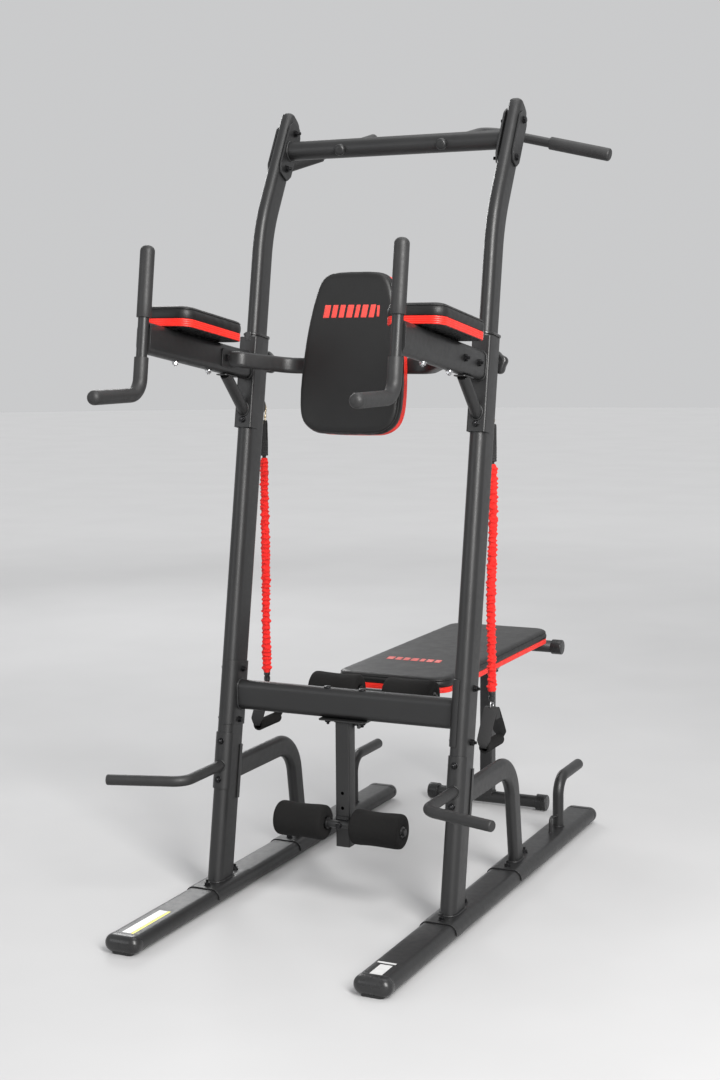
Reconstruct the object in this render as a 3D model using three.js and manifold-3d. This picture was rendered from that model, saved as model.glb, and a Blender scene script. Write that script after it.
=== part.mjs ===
// Power tower: vertical knee raise, dip and pull-up station with a hinged sit-up bench.
// Millimetres, Z up, X to the viewer's right, the front (arms and dip handles) faces -Y.
import * as THREE from 'three';
import Module from 'manifold-3d';

const wasm = await Module();
wasm.setup();

// ---------------------------------------------------------------- solids
function solid(verts, tris) {
  let vol = 0;
  for (const [a, b, c] of tris) {
    const A = verts[a], B = verts[b], C = verts[c];
    vol += A[0] * (B[1] * C[2] - B[2] * C[1]) - A[1] * (B[0] * C[2] - B[2] * C[0]) + A[2] * (B[0] * C[1] - B[1] * C[0]);
  }
  const tv = new Uint32Array(tris.length * 3);
  tris.forEach(([a, b, c], i) => { tv[3 * i] = a; tv[3 * i + 1] = vol < 0 ? c : b; tv[3 * i + 2] = vol < 0 ? b : c; });
  const vp = new Float32Array(verts.length * 3);
  verts.forEach((v, i) => { vp[3 * i] = v[0]; vp[3 * i + 1] = v[1]; vp[3 * i + 2] = v[2]; });
  return new wasm.Manifold(new wasm.Mesh({ numProp: 3, vertProperties: vp, triVerts: tv }));
}
const U = (...m) => m.reduce((a, b) => a.add(b));
const sub = (a, ...m) => m.reduce((p, q) => p.subtract(q), a);
const cut = (a, b) => a.intersect(b);

// loft through rings with the same point count, both ends closed
function loft(rings) {
  const n = rings[0].length, verts = [], tris = [];
  rings.forEach((r) => r.forEach((p) => verts.push(p)));
  for (let k = 0; k + 1 < rings.length; k++)
    for (let i = 0; i < n; i++) {
      const j = (i + 1) % n, a = k * n + i, b = k * n + j, c = a + n, d = b + n;
      tris.push([a, b, d], [a, d, c]);
    }
  const cap = (k, flip) => {
    const c = [0, 0, 0];
    rings[k].forEach((p) => { c[0] += p[0] / n; c[1] += p[1] / n; c[2] += p[2] / n; });
    verts.push(c);
    const m = verts.length - 1;
    for (let i = 0; i < n; i++) { const a = k * n + i, b = k * n + (i + 1) % n; tris.push(flip ? [m, b, a] : [m, a, b]); }
  };
  cap(0, true); cap(rings.length - 1, false);
  return solid(verts, tris);
}
// prism of a 2-D outline through a mapping f(p, q, h)
function prism(outline, lo, hi, f) {
  const geo = new THREE.ExtrudeGeometry(new THREE.Shape(outline.map(([a, b]) => new THREE.Vector2(a, b))), { depth: hi - lo, bevelEnabled: false, steps: 1, curveSegments: 1 });
  const pos = geo.getAttribute('position'), seen = new Map(), verts = [], ids = [], tris = [];
  for (let i = 0; i < pos.count; i++) {
    const key = [pos.getX(i), pos.getY(i), pos.getZ(i)].map((v) => Math.round(v * 1e4)).join();
    if (!seen.has(key)) { seen.set(key, verts.length); verts.push(f(pos.getX(i), pos.getY(i), lo + pos.getZ(i))); }
    ids.push(seen.get(key));
  }
  for (let i = 0; i < ids.length; i += 3) tris.push([ids[i], ids[i + 1], ids[i + 2]]);
  return solid(verts, tris);
}
// profiles
function obround(w, h, seg = 4) {
  const o = [];
  const r = Math.min(w, h) / 2, k = Math.abs(h - w) / 2;
  for (let s = 0; s < 2; s++)
    for (let i = 0; i <= seg; i++) {
      const t = Math.PI * (i / seg) + s * Math.PI;
      if (h >= w) o.push([r * Math.cos(t), r * Math.sin(t) + (s ? -k : k)]);
      else o.push([r * Math.sin(t) + (s ? -k : k), -r * Math.cos(t)]);
    }
  return o;
}
function circle(d, n = 24) { const o = []; for (let i = 0; i < n; i++) { const t = 2 * Math.PI * (i + 0.5) / n; o.push([d / 2 * Math.cos(t), d / 2 * Math.sin(t)]); } return o; }
function rrect(w, h, r, seg = 4) {
  const o = [];
  for (const [sx, sy, t0] of [[1, 1, 0], [-1, 1, 90], [-1, -1, 180], [1, -1, 270]])
    for (let i = 0; i <= seg; i++) { const t = (t0 + 90 * i / seg) * Math.PI / 180; o.push([sx * (w / 2 - r) + r * Math.cos(t), sy * (h / 2 - r) + r * Math.sin(t)]); }
  return o;
}
const hexa = (d) => { const o = []; for (let i = 0; i < 6; i++) { const t = Math.PI / 3 * i; o.push([d / 2 / Math.cos(Math.PI / 6) * Math.cos(t), d / 2 / Math.cos(Math.PI / 6) * Math.sin(t)]); } return o; };

// vector helpers
const add = (a, b, k = 1) => [a[0] + k * b[0], a[1] + k * b[1], a[2] + k * b[2]];
const dif = (a, b) => [a[0] - b[0], a[1] - b[1], a[2] - b[2]];
const dot = (a, b) => a[0] * b[0] + a[1] * b[1] + a[2] * b[2];
const crs = (a, b) => [a[1] * b[2] - a[2] * b[1], a[2] * b[0] - a[0] * b[2], a[0] * b[1] - a[1] * b[0]];
const uni = (a) => { const l = Math.hypot(...a); return [a[0] / l, a[1] / l, a[2] / l]; };

// planar path with filleted corners: list of {p, t}
function bentPath(pts, radii, seg = 10) {
  const out = [];
  out.push({ p: pts[0], t: uni(dif(pts[1], pts[0])) });
  for (let i = 1; i < pts.length - 1; i++) {
    const d1 = uni(dif(pts[i], pts[i - 1])), d2 = uni(dif(pts[i + 1], pts[i]));
    const th = Math.acos(Math.max(-1, Math.min(1, dot(d1, d2))));
    const R = radii[i - 1], tl = R * Math.tan(th / 2);
    const a = add(pts[i], d1, -tl), nrm = uni(crs(crs(d1, d2), d1)), c = add(a, nrm, R);
    for (let k = 0; k <= seg; k++) {
      const f = th * k / seg;
      out.push({ p: add(add(c, nrm, -R * Math.cos(f)), d1, R * Math.sin(f)), t: uni(add(d1.map((v) => v * Math.cos(f)), nrm, Math.sin(f))) });
    }
  }
  out.push({ p: pts[pts.length - 1], t: uni(dif(pts[pts.length - 1], pts[pts.length - 2])) });
  return out;
}
// sweep a profile (first axis along the fixed plane normal n) along the path
function sweep(prof, path, n, scale) {
  return loft(path.map(({ p, t, s }) => {
    const u = uni(crs(t, n)), k = s === undefined ? 1 : s;
    return prof.map(([a, b]) => add(add(p, n, a * k), u, b * k));
  }));
}
// round-nosed end for a sweep: stations that shrink over the radius
function nose(path, r, R, seg = 5) {
  const e = path[path.length - 1], base = path.slice(0, -1);
  for (let i = 0; i <= seg; i++) {
    const a = (Math.PI / 2) * 0.94 * i / seg;
    base.push({ p: add(e.p, e.t, -r + r * Math.sin(a)), t: e.t, s: 1 - (r / R) * (1 - Math.cos(a)) });
  }
  return base;
}
const shift = (path, first, last) => { // lengthen both ends
  const q = path.map((e) => ({ ...e }));
  q[0] = { ...q[0], p: add(q[0].p, q[0].t, -first) };
  q[q.length - 1] = { ...q[q.length - 1], p: add(q[q.length - 1].p, q[q.length - 1].t, last) };
  return q;
};
const X1 = [1, 0, 0];
const box = (x0, x1, y0, y1, z0, z1) => prism([[x0, y0], [x1, y0], [x1, y1], [x0, y1]], z0, z1, (a, b, h) => [a, b, h]);
const rodX = (d, x0, x1, y, z, n = 20) => prism(circle(d, n), x0, x1, (a, b, h) => [h, y + a, z + b]);
const rodY = (d, x, y0, y1, z, n = 20) => prism(circle(d, n), y0, y1, (a, b, h) => [x + a, h, z + b]);
const rodZ = (d, x, y, z0, z1, n = 20) => prism(circle(d, n), z0, z1, (a, b, h) => [x + a, y + b, h]);

// ---------------------------------------------------------------- main sizes
const G = 0.3;                // clearance between touching pieces
const XU = 335;               // upright centre plane
const TL = 0.1715;            // lean of the uprights
const L1 = Math.hypot(1, TL), su = TL / L1, cu = 1 / L1;
const yU = (z) => 70 + TL * (z - 50);
const sOf = (z) => (z - 50) / cu;
const UF = (x, v, s) => [x, 70 + v * cu + s * su, 50 - v * su + s * cu];        // upright frame
const aa = 8.5 * Math.PI / 180, ca = Math.cos(aa), sa = Math.sin(aa);
const AF = (x, t, b) => [x, 232 - t * ca + b * sa, 1419 + t * sa + b * ca];     // arm frame
const BAR = [488, 1999];      // pull-up bar centre (y, z)
const be = Math.atan(0.556), sb = Math.sin(be), cb = Math.cos(be);
const TF = (x, v, s) => [x, BAR[0] + v * cb + s * sb, BAR[1] - v * sb + s * cb]; // top frame
const BT = 47, BB = 5, BZ = (BT + BB) / 2;   // base tube top, bottom, centre

// shell hugging an upright: half of a 3 mm skin around the 45 x 90 section
function skin(s0, s1, clip, seg = 6) {
  const out = prism(obround(45 + 2 * G + 6, 90 + 2 * G + 6, seg), s0, s1, (a, b, h) => UF(XU + a, b, h));
  const inn = prism(obround(45 + 2 * G, 90 + 2 * G, seg), s0 - 5, s1 + 5, (a, b, h) => UF(XU + a, b, h));
  const [x0, x1, v0, v1] = clip;
  const c = prism([[x0, v0], [x1, v0], [x1, v1], [x0, v1]], s0 - 10, s1 + 10, (a, b, h) => UF(XU + a, b, h));
  return cut(sub(out, inn), c);
}
const skinCore = (s0, s1) => prism(obround(45 + 2 * G, 90 + 2 * G, 6), s0, s1, (a, b, h) => UF(XU + a, b, h));
// saddle over a base tube
function saddle(y0, y1) {
  const out = prism(obround(96 + 2 * G + 6, BT - BB + 2 * G + 6), y0, y1, (a, b, h) => [XU + a, h, BZ + b]);
  const inn = prism(obround(96 + 2 * G, BT - BB + 2 * G), y0 - 5, y1 + 5, (a, b, h) => [XU + a, h, BZ + b]);
  return cut(sub(out, inn), box(XU - 70, XU + 70, y0 - 9, y1 + 9, 21, 80));
}
const seatCore = (y0, y1) => prism(obround(96 + 2 * G, BT - BB + 2 * G), y0, y1, (a, b, h) => [XU + a, h, BZ + b]);

// hex bolt along X: head at x0 side, nut at x1 side
function boltX(F, a, b, xHead, xNut, d = 9.4, sgn = 1) {
  const at = (p, q, h) => F(h, a + p, b + q);
  const lo = Math.min(xHead, xNut), hi = Math.max(xHead, xNut);
  return U(
    prism(circle(d, 8), lo - 9, hi + 9, at),
    prism(hexa(15), lo - 7, lo, at), prism(hexa(15), hi, hi + 7, at),
    prism(circle(20, 6), lo - 0.01, lo + 1.5, at), prism(circle(20, 8), hi - 1.5, hi + 0.01, at),
  );
}

const parts = {};
const both = new Set();
const put = (name, m, color, rough = 0.5, metal = 0.6) => { parts[name] = { m, color, rough, metal }; };
const pair = (name, m, color, rough, metal) => { put('right_' + name, m, color, rough, metal); both.add(name); };
const STEEL = 0x3a3b3d, BLACK = 0x17181a, RUBBER = 0x242526, RED = 0xe0382c, ZINC = 0x8d8f92, VINYL = 0x1d1e1f;

// ---------------------------------------------------------------- base
{
  const y0 = -395, y1 = 1118;
  const o = prism(obround(96, BT - BB), y0, y1, (a, b, h) => [XU + a, h, BZ + b]);
  const i = prism(obround(92, BT - BB - 4), y0 - 5, y1 + 5, (a, b, h) => [XU + a, h, BZ + b]);
  // bent push-up post at the rear
  const p = bentPath([[XU, 909, BT - 1.5], [XU, 909, 190], [XU, 1106, 190]], [52], 5);
  const post = sweep(circle(32, 12), nose(p, 10, 16, 2), X1);
  // rod loop in front of the post
  const lp = bentPath([[XU, 838, BT - 1.5], [XU, 838, 88], [XU, 897, 80]], [12], 2);
  const loop = sweep(circle(9, 6), lp, X1);
  pair('base_tube', U(sub(o, i), post, loop), STEEL);
  // end caps with a rocker foot below
  const cap = (dir, yt) => {
    const st = [];
    const at = (d, k) => obround(97 - 2 * k, BT - BB + 2 - 2 * k).map(([a, b]) => [XU + a, yt + dir * d, BZ + b]);
    st.push(at(G, 1.2), at(1.4, 0));
    for (let q = 0; q <= 3; q++) { const f = (Math.PI / 2) * 0.92 * q / 3; st.push(at(16 + 19 * Math.sin(f), 18 * (1 - Math.cos(f)))); }
    const shell = loft(st);
    const foot = loft([0, 1, 2].map((q) => rrect(66 - (q === 0 ? 4 : 0), 24 - (q === 0 ? 4 : 0), 8, 2).map(([a, b]) => [XU + a, yt + dir * 15 + b, [0, 2, 9][q]])));
    const plug = prism(obround(91.4, BT - BB - 4.6), 0, 24, (a, b, h) => [XU + a, yt - dir * (h - 1), BZ + b]);
    return U(shell, foot, plug);
  };
  pair('base_front_cap', cap(-1, y0), BLACK, 0.4, 0);
  pair('base_rear_cap', cap(1, y1), BLACK, 0.4, 0);
}
// ---------------------------------------------------------------- lower uprights
{
  const sTop = 1460;
  const up = (w, d, s0, s1, n = 6) => prism(obround(w, d, n), s0, s1, (a, b, h) => UF(XU + a, b, h));
  let o = cut(up(45, 90, -60, sTop), box(0, 700, -400, 900, 48.5, 2000));
  const boss = prism(circle(26, 12), 43.5, 57, (a, b, h) => UF(XU + a, h, 1402 + b));
  // rear eye for the band clip
  const s0 = 1280;
  const ey = bentPath([UF(XU, 44, s0 + 15), UF(XU, 70, s0 + 15), UF(XU, 70, s0 - 15), UF(XU, 44, s0 - 15)], [13, 13], 2);
  const eye = sweep(circle(8, 6), ey, X1);
  let m = U(o, saddle(-25, 171), boss, eye);
  m = sub(m, cut(up(41, 86, -60, sTop + 10, 4), box(0, 700, -400, 900, 51, 2000)), seatCore(-30, 180),
    prism(circle(10.8, 12), 30, 70, (a, b, h) => UF(XU + a, h, 1402 + b)));
  pair('lower_upright', m, STEEL);
  // plastic bush at the top
  const lip = loft([[0, -1], [1.5, 0], [7, -1]].map(([h, k]) => obround(50 + 2 * k, 95 + 2 * k, 6).map(([a, b]) => UF(XU + a, b, sTop + G + h))));
  const slv = up(40.4, 85.4, sTop - 48, sTop + 3, 4);
  pair('upright_bush', sub(U(lip, slv), up(36.8, 74.8, sTop - 60, sTop + 30, 4)), BLACK, 0.45, 0);
  // five-lobed knob with its screw
  const lobes = (r, amp, n = 20) => { const q = []; for (let i = 0; i < n; i++) { const t = 2 * Math.PI * i / n; const rr = r + amp * Math.cos(5 * t); q.push([rr * Math.sin(t), rr * Math.cos(t)]); } return q; };
  const kr = [[60, 22, 0], [64, 28.2, 2.2], [79, 29.4, 2.5], [84, 20, 1.2]].map(([h, r, a]) => lobes(r, a).map(([x, s]) => UF(XU + x, h, 1402 + s)));
  const knob = U(loft(kr), prism(circle(24, 12), 57.6, 61.5, (a, b, h) => UF(XU + a, h, 1402 + b)), prism(circle(10, 12), 37.4, 66, (a, b, h) => UF(XU + a, h, 1402 + b)));
  pair('height_knob', knob, BLACK, 0.45, 0);
}
// ---------------------------------------------------------------- upper uprights
{
  const yL = (z) => yU(z);
  const zv = (70 - 50 * TL - (BAR[0] - 0.556 * BAR[1])) / (0.556 - TL);
  const vtx = [XU, yL(zv), zv];
  const path = bentPath([[XU, yL(1180), 1180], vtx, TF(XU, 0, 140)], [420], 5);
  const o = sweep(obround(36, 74, 4), path, X1);
  const i = sweep(obround(32, 70, 2), shift(path, 10, -38), X1);
  // top end: rounded at the front, chamfered at the rear
  const prof = [];
  for (let q = 0; q <= 4; q++) { const f = Math.PI - (Math.PI / 2) * q / 4; prof.push([-14 + 24 * Math.cos(f), 89 + 23 * Math.sin(f)]); }
  prof.push([8, 111], [22, 105], [40, 86], [40, -90], [700, -1200], [-260, -1200], [-38, 60]);
  const trim = prism(prof, XU - 40, XU + 40, (a, b, h) => TF(h, a, b));
  let m = sub(cut(o, trim), i);
  const hole = (s) => prism(circle(10.2, 8), XU - 40, XU + 40, (a, b, h) => TF(h, a, s + b));
  m = sub(m, hole(57.5), hole(-57.5));
  // adjustment holes down the rear face
  for (const z of [1262, 1212]) m = sub(m, prism(circle(10.4, 12), 25, 50, (a, b, h) => UF(XU + a, h, sOf(z) + b)));
  pair('upper_upright', m, STEEL);
}
// ---------------------------------------------------------------- pull-up bar with its rear handles
const HV = [165, 757, 2057];
{
  const hex = [[-34, -62], [-20, -84], [20, -84], [34, -62], [34, 62], [20, 84], [-20, 84], [-34, 62]];
  const xf = XU - 18 - G;
  const flange = (s) => prism(hex, xf - 5, xf, (a, b, h) => TF(s * h, a, b));
  const tube = rodX(50.8, -(xf - 3), xf - 3, BAR[0], BAR[1], 20);
  const d1 = uni([HV[0] - 150, HV[1] - BAR[0], HV[2] - BAR[1]]);
  const start = add([150, BAR[0], BAR[1]], d1, -34);
  const end = [516, 757, HV[2] - 0.238 * (516 - HV[0])];
  const hp = bentPath([start, HV, end], [62], 4);
  const n = uni(crs(d1, uni(dif(end, HV))));
  const mir = (q) => [-q[0], q[1], q[2]];
  const hpm = hp.map(({ p, t }) => ({ p: mir(p), t: mir(t) }));
  const nm = uni(crs(mir(d1), mir(uni(dif(end, HV)))));
  const hOut = (pth, nn) => sweep(circle(26, 12), pth, nn);
  const bore = rodX(45, -(xf - 5) + 3, (xf - 5) - 3, BAR[0], BAR[1], 10);
  let m = U(sub(tube, bore), flange(1), flange(-1));
  m = sub(m, rodX(20, -400, 400, BAR[0], BAR[1], 16));
  m = U(m, hOut(hp, n), hOut(hpm, nm));
  for (const s of [57.5, -57.5]) m = sub(m, prism(circle(10.2, 8), -400, 400, (a, b, h) => TF(h, a, s + b)));
  put('pull_up_bar', m, STEEL);
  // rubber grip on the outer run
  const u2 = uni(dif(end, HV));
  const g0 = add(HV, u2, (350 - HV[0]) / u2[0]), g1 = add(HV, u2, (520.5 - HV[0]) / u2[0]);
  const gp = [{ p: g0, t: u2, s: 0.97 }, { p: add(g0, u2, 2), t: u2 }, { p: g1, t: u2 }];
  const grip = sub(sweep(circle(35, 12), nose(gp, 6, 17.5, 2), n), sweep(circle(26 + 2 * G, 12), [{ p: add(g0, u2, -8), t: u2 }, { p: add(end, u2, 0.5), t: u2 }], n));
  pair('rear_grip', grip, RUBBER, 0.8, 0);
  // outer backing plate with its two bolts
  const hex2 = [[-27, -58], [-14, -78], [14, -78], [27, -58], [27, 58], [14, 78], [-14, 78], [-27, 58]];
  const xo = XU + 18 + G;
  const plate = prism(hex2, xo, xo + 5, (a, b, h) => TF(h, a, b));
  const bolt = (s) => { const at = (p, q, h) => TF(h, p, s + q); return U(prism(circle(9.4, 8), xf - 5 - 12, xo + 6, at), prism(hexa(16), xf - 5 - G - 8, xf - 5 - G, at), prism(circle(22, 8), xo + 4.9, xo + 6.6, at), prism(hexa(16), xo + 6.5, xo + 12.5, at)); };
  pair('backing_plate', U(plate, bolt(57.5), bolt(-57.5)), STEEL);
}
// ---------------------------------------------------------------- crossbar and roller post
const CY = yU(538), CZ = 538;
{
  const s0 = sOf(458), s1 = sOf(626);
  const wrap = skin(s0, s1, [-40, 0, -60, 60]);
  const xi = XU - 22.5 - G - 1.5;
  const tube = prism(obround(40, 80), -xi, xi, (a, b, h) => [h, CY + a, CZ + b]);
  const bore = prism(obround(36, 76), -(xi - 3), xi - 3, (a, b, h) => [h, CY + a, CZ + b]);
  const wl = mirror(wrap);
  // ears for the bench pivot on the rear face
  const ear = (x0, x1) => prism([[CY + 17, 468], [CY + 38, 468], [CY + 60, 478], [CY + 66, 493.7], [CY + 60, 509], [CY + 38, 519], [CY + 17, 519]], x0, x1, (a, b, h) => [h, a, b]);
  let m = U(tube, wrap, wl, ear(25.4 + G, 30), ear(-30, -25.4 - G));
  m = sub(m, bore, skinCore(s0 - 60, s1 + 60), mirror(skinCore(s0 - 60, s1 + 60)));
  m = sub(m, rodX(12.9, -60, 60, CY + 51.3, 493.7, 12));
  // breather holes at the ends keep the bore open behind the wrap plates
  m = sub(m, rodX(12, -(XU), XU, CY, CZ, 12));
  put('crossbar', m, STEEL);
}
{
  const zt = CZ - 40 - G;
  const plate = prism(rrect(132, 43, 6, 1), zt - 4, zt, (a, b, h) => [a, CY - 6.5 + b, h]);
  const post = prism(rrect(40, 40, 3, 1), 158, zt - 3, (a, b, h) => [a, CY + b, h]);
  const bore = prism(rrect(36, 36, 1.5, 1), 150, zt - 4, (a, b, h) => [a, CY + b, h]);
  let m = sub(U(plate, post), bore);
  for (const z of [302, 262, 222]) m = sub(m, rodY(9.4, 0, CY - 40, CY + 40, z, 10));
  put('roller_post', m, STEEL);
  // roller axle clamped to the post
  const ya = CY - 20 - G - 3 - 10, za = 222;
  const ax = rodX(20, -186, 186, ya, za, 14);
  const col = (x0, x1) => rodX(30, x0, x1, ya, za, 12);
  const sadl = box(-18, 18, CY - 20 - G - 3.5, CY - 20 - G, za - 19, za + 19);
  const web = box(-14, 14, ya, CY - 20 - G - 2, za - 10, za + 10);
  const bolt = U(rodY(8.6, 0, ya - 12, CY + 32, za, 10), prism(hexa(14), ya - 15, ya - 9.6, (a, b, h) => [a, h, za + b]), prism(hexa(14), CY + 20 + G + 1.5, CY + 28, (a, b, h) => [a, h, za + b]), prism(circle(18, 12), CY + 20 + G, CY + 22, (a, b, h) => [a, h, za + b]));
  put('lower_roller_axle', U(ax, col(-38, -34), col(34, 38), sadl, web, bolt), ZINC);
  pair('lower_roller', roller(ya, za), RUBBER, 0.95, 0);
}
function roller(y, z) {
  const rr = [[39, 41], [44, 46], [90, 44.2], [130, 44.2], [175, 46], [180, 41]];
  const body = loft(rr.map(([x, r]) => circle(2 * r, 16).map(([a, b]) => [x, y + a, z + b])));
  return sub(body, rodX(20.9, 30, 190, y, z, 14));
}
function mirror(m) { // mirrored copy across the X = 0 plane
  const g = m.getMesh(), v = [], t = [];
  for (let i = 0; i < g.vertProperties.length / g.numProp; i++) v.push([-g.vertProperties[i * g.numProp], g.vertProperties[i * g.numProp + 1], g.vertProperties[i * g.numProp + 2]]);
  for (let i = 0; i < g.triVerts.length; i += 3) t.push([g.triVerts[i], g.triVerts[i + 2], g.triVerts[i + 1]]);
  return solid(v, t);
}
// ---------------------------------------------------------------- arch braces
{
  const s0 = sOf(262), s1 = sOf(404);
  const plate = skin(s0, s1, [-40, 40, 12, 60]);
  const zl = 333, yv = 496;
  const p = bentPath([[XU, yU(zl) + 45, zl], [XU, yv, zl], [XU, 541, 48.5]], [105], 6);
  const q = cut(sweep(obround(30, 60, 4), shift(p, 0, 30), X1), box(0, 700, 0, 900, 48.5, 800));
  let m = U(q, plate, saddle(447, 635));
  m = sub(m, skinCore(s0 - 60, s1 + 60), seatCore(440, 645));
  pair('arch_brace', m, STEEL);
}
// ---------------------------------------------------------------- front push-up bars
{
  const s0 = sOf(288), s1 = sOf(436);
  const plate = skin(s0, s1, [-40, 40, -60, -27]);
  const e = uni([196, -62, 0]);
  const tip = add([XU, -105, 356], e, 207);
  const p = bentPath([[XU, yU(356) - 44, 356], [XU, -105, 356], tip], [46], 4);
  const out = sweep(circle(28, 12), nose(p, 7, 14, 2), [0, 0, 1]);
  pair('pushup_bar', sub(U(plate, out), skinCore(s0 - 60, s1 + 60)), STEEL);
}
// ---------------------------------------------------------------- arm brackets
{
  const s0 = sOf(1243), s1 = 1455, f = -(45 + G), w = 22.5 + G;
  const front = prism([[-w - 3, f - 3], [w + 3, f - 3], [w + 3, f], [-w - 3, f]], s0, s1, (a, b, h) => UF(XU + a, b, h));
  const side = (k) => prism([[k * w, f - 1], [k * (w + 3), f - 1], [k * (w + 3), -8], [k * w, -8]], s0, s1, (a, b, h) => UF(XU + a, b, h));
  // hollow stub the arm slides over
  const reach = 150;
  const so = prism(obround(35.2, 73.2, 4), -40, reach, (a, b, h) => AF(XU + a, h, b));
  const si = prism(obround(29, 67, 2), -60, reach + 9, (a, b, h) => AF(XU + a, h, b));
  const behind = prism([[-60, f - 0.01], [60, f - 0.01], [60, 60], [-60, 60]], s0 + 60, s1 + 60, (a, b, h) => UF(XU + a, b, h));
  const stub = sub(so, behind, si);
  // diagonal round brace up to a small pad under the arm
  const low = UF(XU, f - 2, sOf(1290)), hi = AF(XU, 80, -39 - G - 3);
  const d = uni(dif(hi, low));
  const br = [{ p: add(low, d, -22), t: d }, { p: add(hi, d, 6), t: d }];
  let brace = sweep(circle(30, 12), br, X1);
  const keepUnder = prism([[-90, -39 - G - 1], [200, -39 - G - 1], [200, -300], [-90, -300]], XU - 60, XU + 60, (a, b, h) => AF(h, a, b));
  const fore = prism([[-400, -3000], [f - 1, -3000], [f - 1, 3000], [-400, 3000]], XU - 60, XU + 60, (a, b, h) => UF(h, a, b));
  brace = cut(cut(brace, keepUnder), fore);
  const pad = prism(rrect(62, 34, 6, 1), -39 - G - 3, -39 - G, (a, b, h) => AF(XU + b, 79 + a, h));
  let m = U(front, side(1), side(-1), stub, brace, pad);
  for (const t of [126, 33]) m = sub(m, prism(circle(10.2, 8), XU - 60, XU + 60, (a, b, h) => AF(h, t + a, b)));
  pair('arm_bracket', m, STEEL);
}
// ---------------------------------------------------------------- arms with their handles
const HA = (z) => [XU, -254 + (sa / ca) * (z - 1540), z];
const HB = [0, sa, ca];
{
  const f0 = -9;
  const tEnd = 497;
  const front = prism(obround(40, 78, 4), f0 + 3, tEnd, (a, b, h) => AF(XU + a, h, b));
  const bore = prism(obround(36, 74, 4), -20, tEnd - 10, (a, b, h) => AF(XU + a, h, b));
  const top = HA(1705), vtx = [XU, HA(1355)[1], 1355], tip = [XU, -484, 1355];
  const hp = bentPath([top, vtx, tip], [46], 4);
  const tube = sweep(circle(27, 12), hp, X1);
  let m = U(sub(front, bore), tube);
  for (const t of [126, 33]) m = sub(m, prism(circle(10.2, 8), XU - 60, XU + 60, (a, b, h) => AF(h, t + a, b)));
  pair('arm', m, STEEL);
  // upper grip
  const a0 = HA(1540), a1 = add(top, HB, 8);
  const gp = [{ p: a0, t: HB, s: 0.97 }, { p: add(a0, HB, 2), t: HB }, { p: a1, t: HB }];
  pair('upper_grip', sub(sweep(circle(36, 12), nose(gp, 12, 18, 2), X1), sweep(circle(27.7, 12), [{ p: add(a0, HB, -9), t: HB }, { p: add(top, HB, 0.6), t: HB }], X1)), RUBBER, 0.8, 0);
  // dip grip follows the bend
  const b0 = HA(1445);
  const gq = bentPath([b0, vtx, [XU, -490, 1355]], [46], 4);
  const gi = bentPath([add(b0, HB, 12), vtx, [XU, -484.6, 1355]], [46], 4);
  pair('dip_grip', sub(sweep(circle(35, 12), nose(gq, 11, 17.5, 2), X1), sweep(circle(27.7, 12), gi, X1)), RUBBER, 0.8, 0);
  // forearm pad
  const t0 = 128, t1 = 415, tc = (t0 + t1) / 2, len = t1 - t0;
  const lv = [[0, 2], [2, 0], [42, 0.4], [50, 4], [54, 16]];
  pair('arm_pad', loft(lv.map(([h, k]) => rrect(len - 2 * k, 150 - 2 * k, Math.max(4, 26 - k), 2).map(([a, b]) => AF(XU + b, tc + a, 39 + G + h)))), VINYL, 0.55, 0);
  // cross bolts through arm and stub
  pair('arm_rear_bolt', boltX(AF, 33, 0, XU - 20 - G - 1.5, XU + 20 + G + 1.5), ZINC);
  pair('arm_front_bolt', boltX(AF, 126, 0, XU - 20 - 2 * G - 4.5, XU + 20 + G + 1.5), ZINC);
}
// ---------------------------------------------------------------- backrest
{
  const xp = XU - 20 - G;
  const tB = -32.3;
  const pts = [[xp - 2, 99], [288, 92], [205, tB], [-205, tB], [-288, 92], [-(xp - 2), 99]].map(([x, t]) => AF(x, t, 0));
  const nB = [0, sa, ca];
  const p = bentPath(pts, [26, 62, 62, 26], 4);
  const sw = (w, h, sg, pth) => loft(pth.map(({ p: q, t }) => { const u = uni(crs(t, nB)); return obround(w, h, sg).map(([a, b]) => add(add(q, u, a), nB, b)); }));
  const outer = sw(20, 42, 3, p);
  const plate = (k) => prism(rrect(58, 46, 6, 1), k * (xp - 3), k * xp, (a, b, h) => AF(h, 117 + a, b));
  let m = U(cut(outer, box(-xp, xp, -300, 900, 1000, 2000)), plate(1), plate(-1));
  m = sub(m, prism(circle(10.2, 8), -400, 400, (a, b, h) => AF(h, 126 + a, b)));
  put('backrest_bar', m, STEEL);
  // pad outline, half width against height along the pad
  const half = [[0, -183], [84, -180.5], [110, -171], [129, -153], [139.5, -126], [141.5, -90], [138, 6], [133, 59], [118, 147], [108, 186], [97, 213], [78, 230], [48, 236], [0, 237]];
  const right = half.slice(1, -1), outline = [half[0], ...right, half[half.length - 1], ...right.slice().reverse().map(([x, y]) => [-x, y])];
  const inset = (k) => { // move each point inwards along its normal
    const n = outline.length;
    return outline.map((q, i) => {
      const a = outline[(i + n - 1) % n], b = outline[(i + 1) % n];
      const dx = b[0] - a[0], dy = b[1] - a[1], l = Math.hypot(dx, dy);
      return [q[0] - k * dy / l, q[1] + k * dx / l];
    });
  };
  const rear = tB + 10 + G;
  const lv = [[0, 2], [2, 0], [42, 0.8], [53, 6], [60, 24]];
  put('backrest_pad', loft(lv.map(([h, k]) => inset(k).map(([x, b]) => AF(x, rear + h, b)))), VINYL, 0.55, 0);
}
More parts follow.
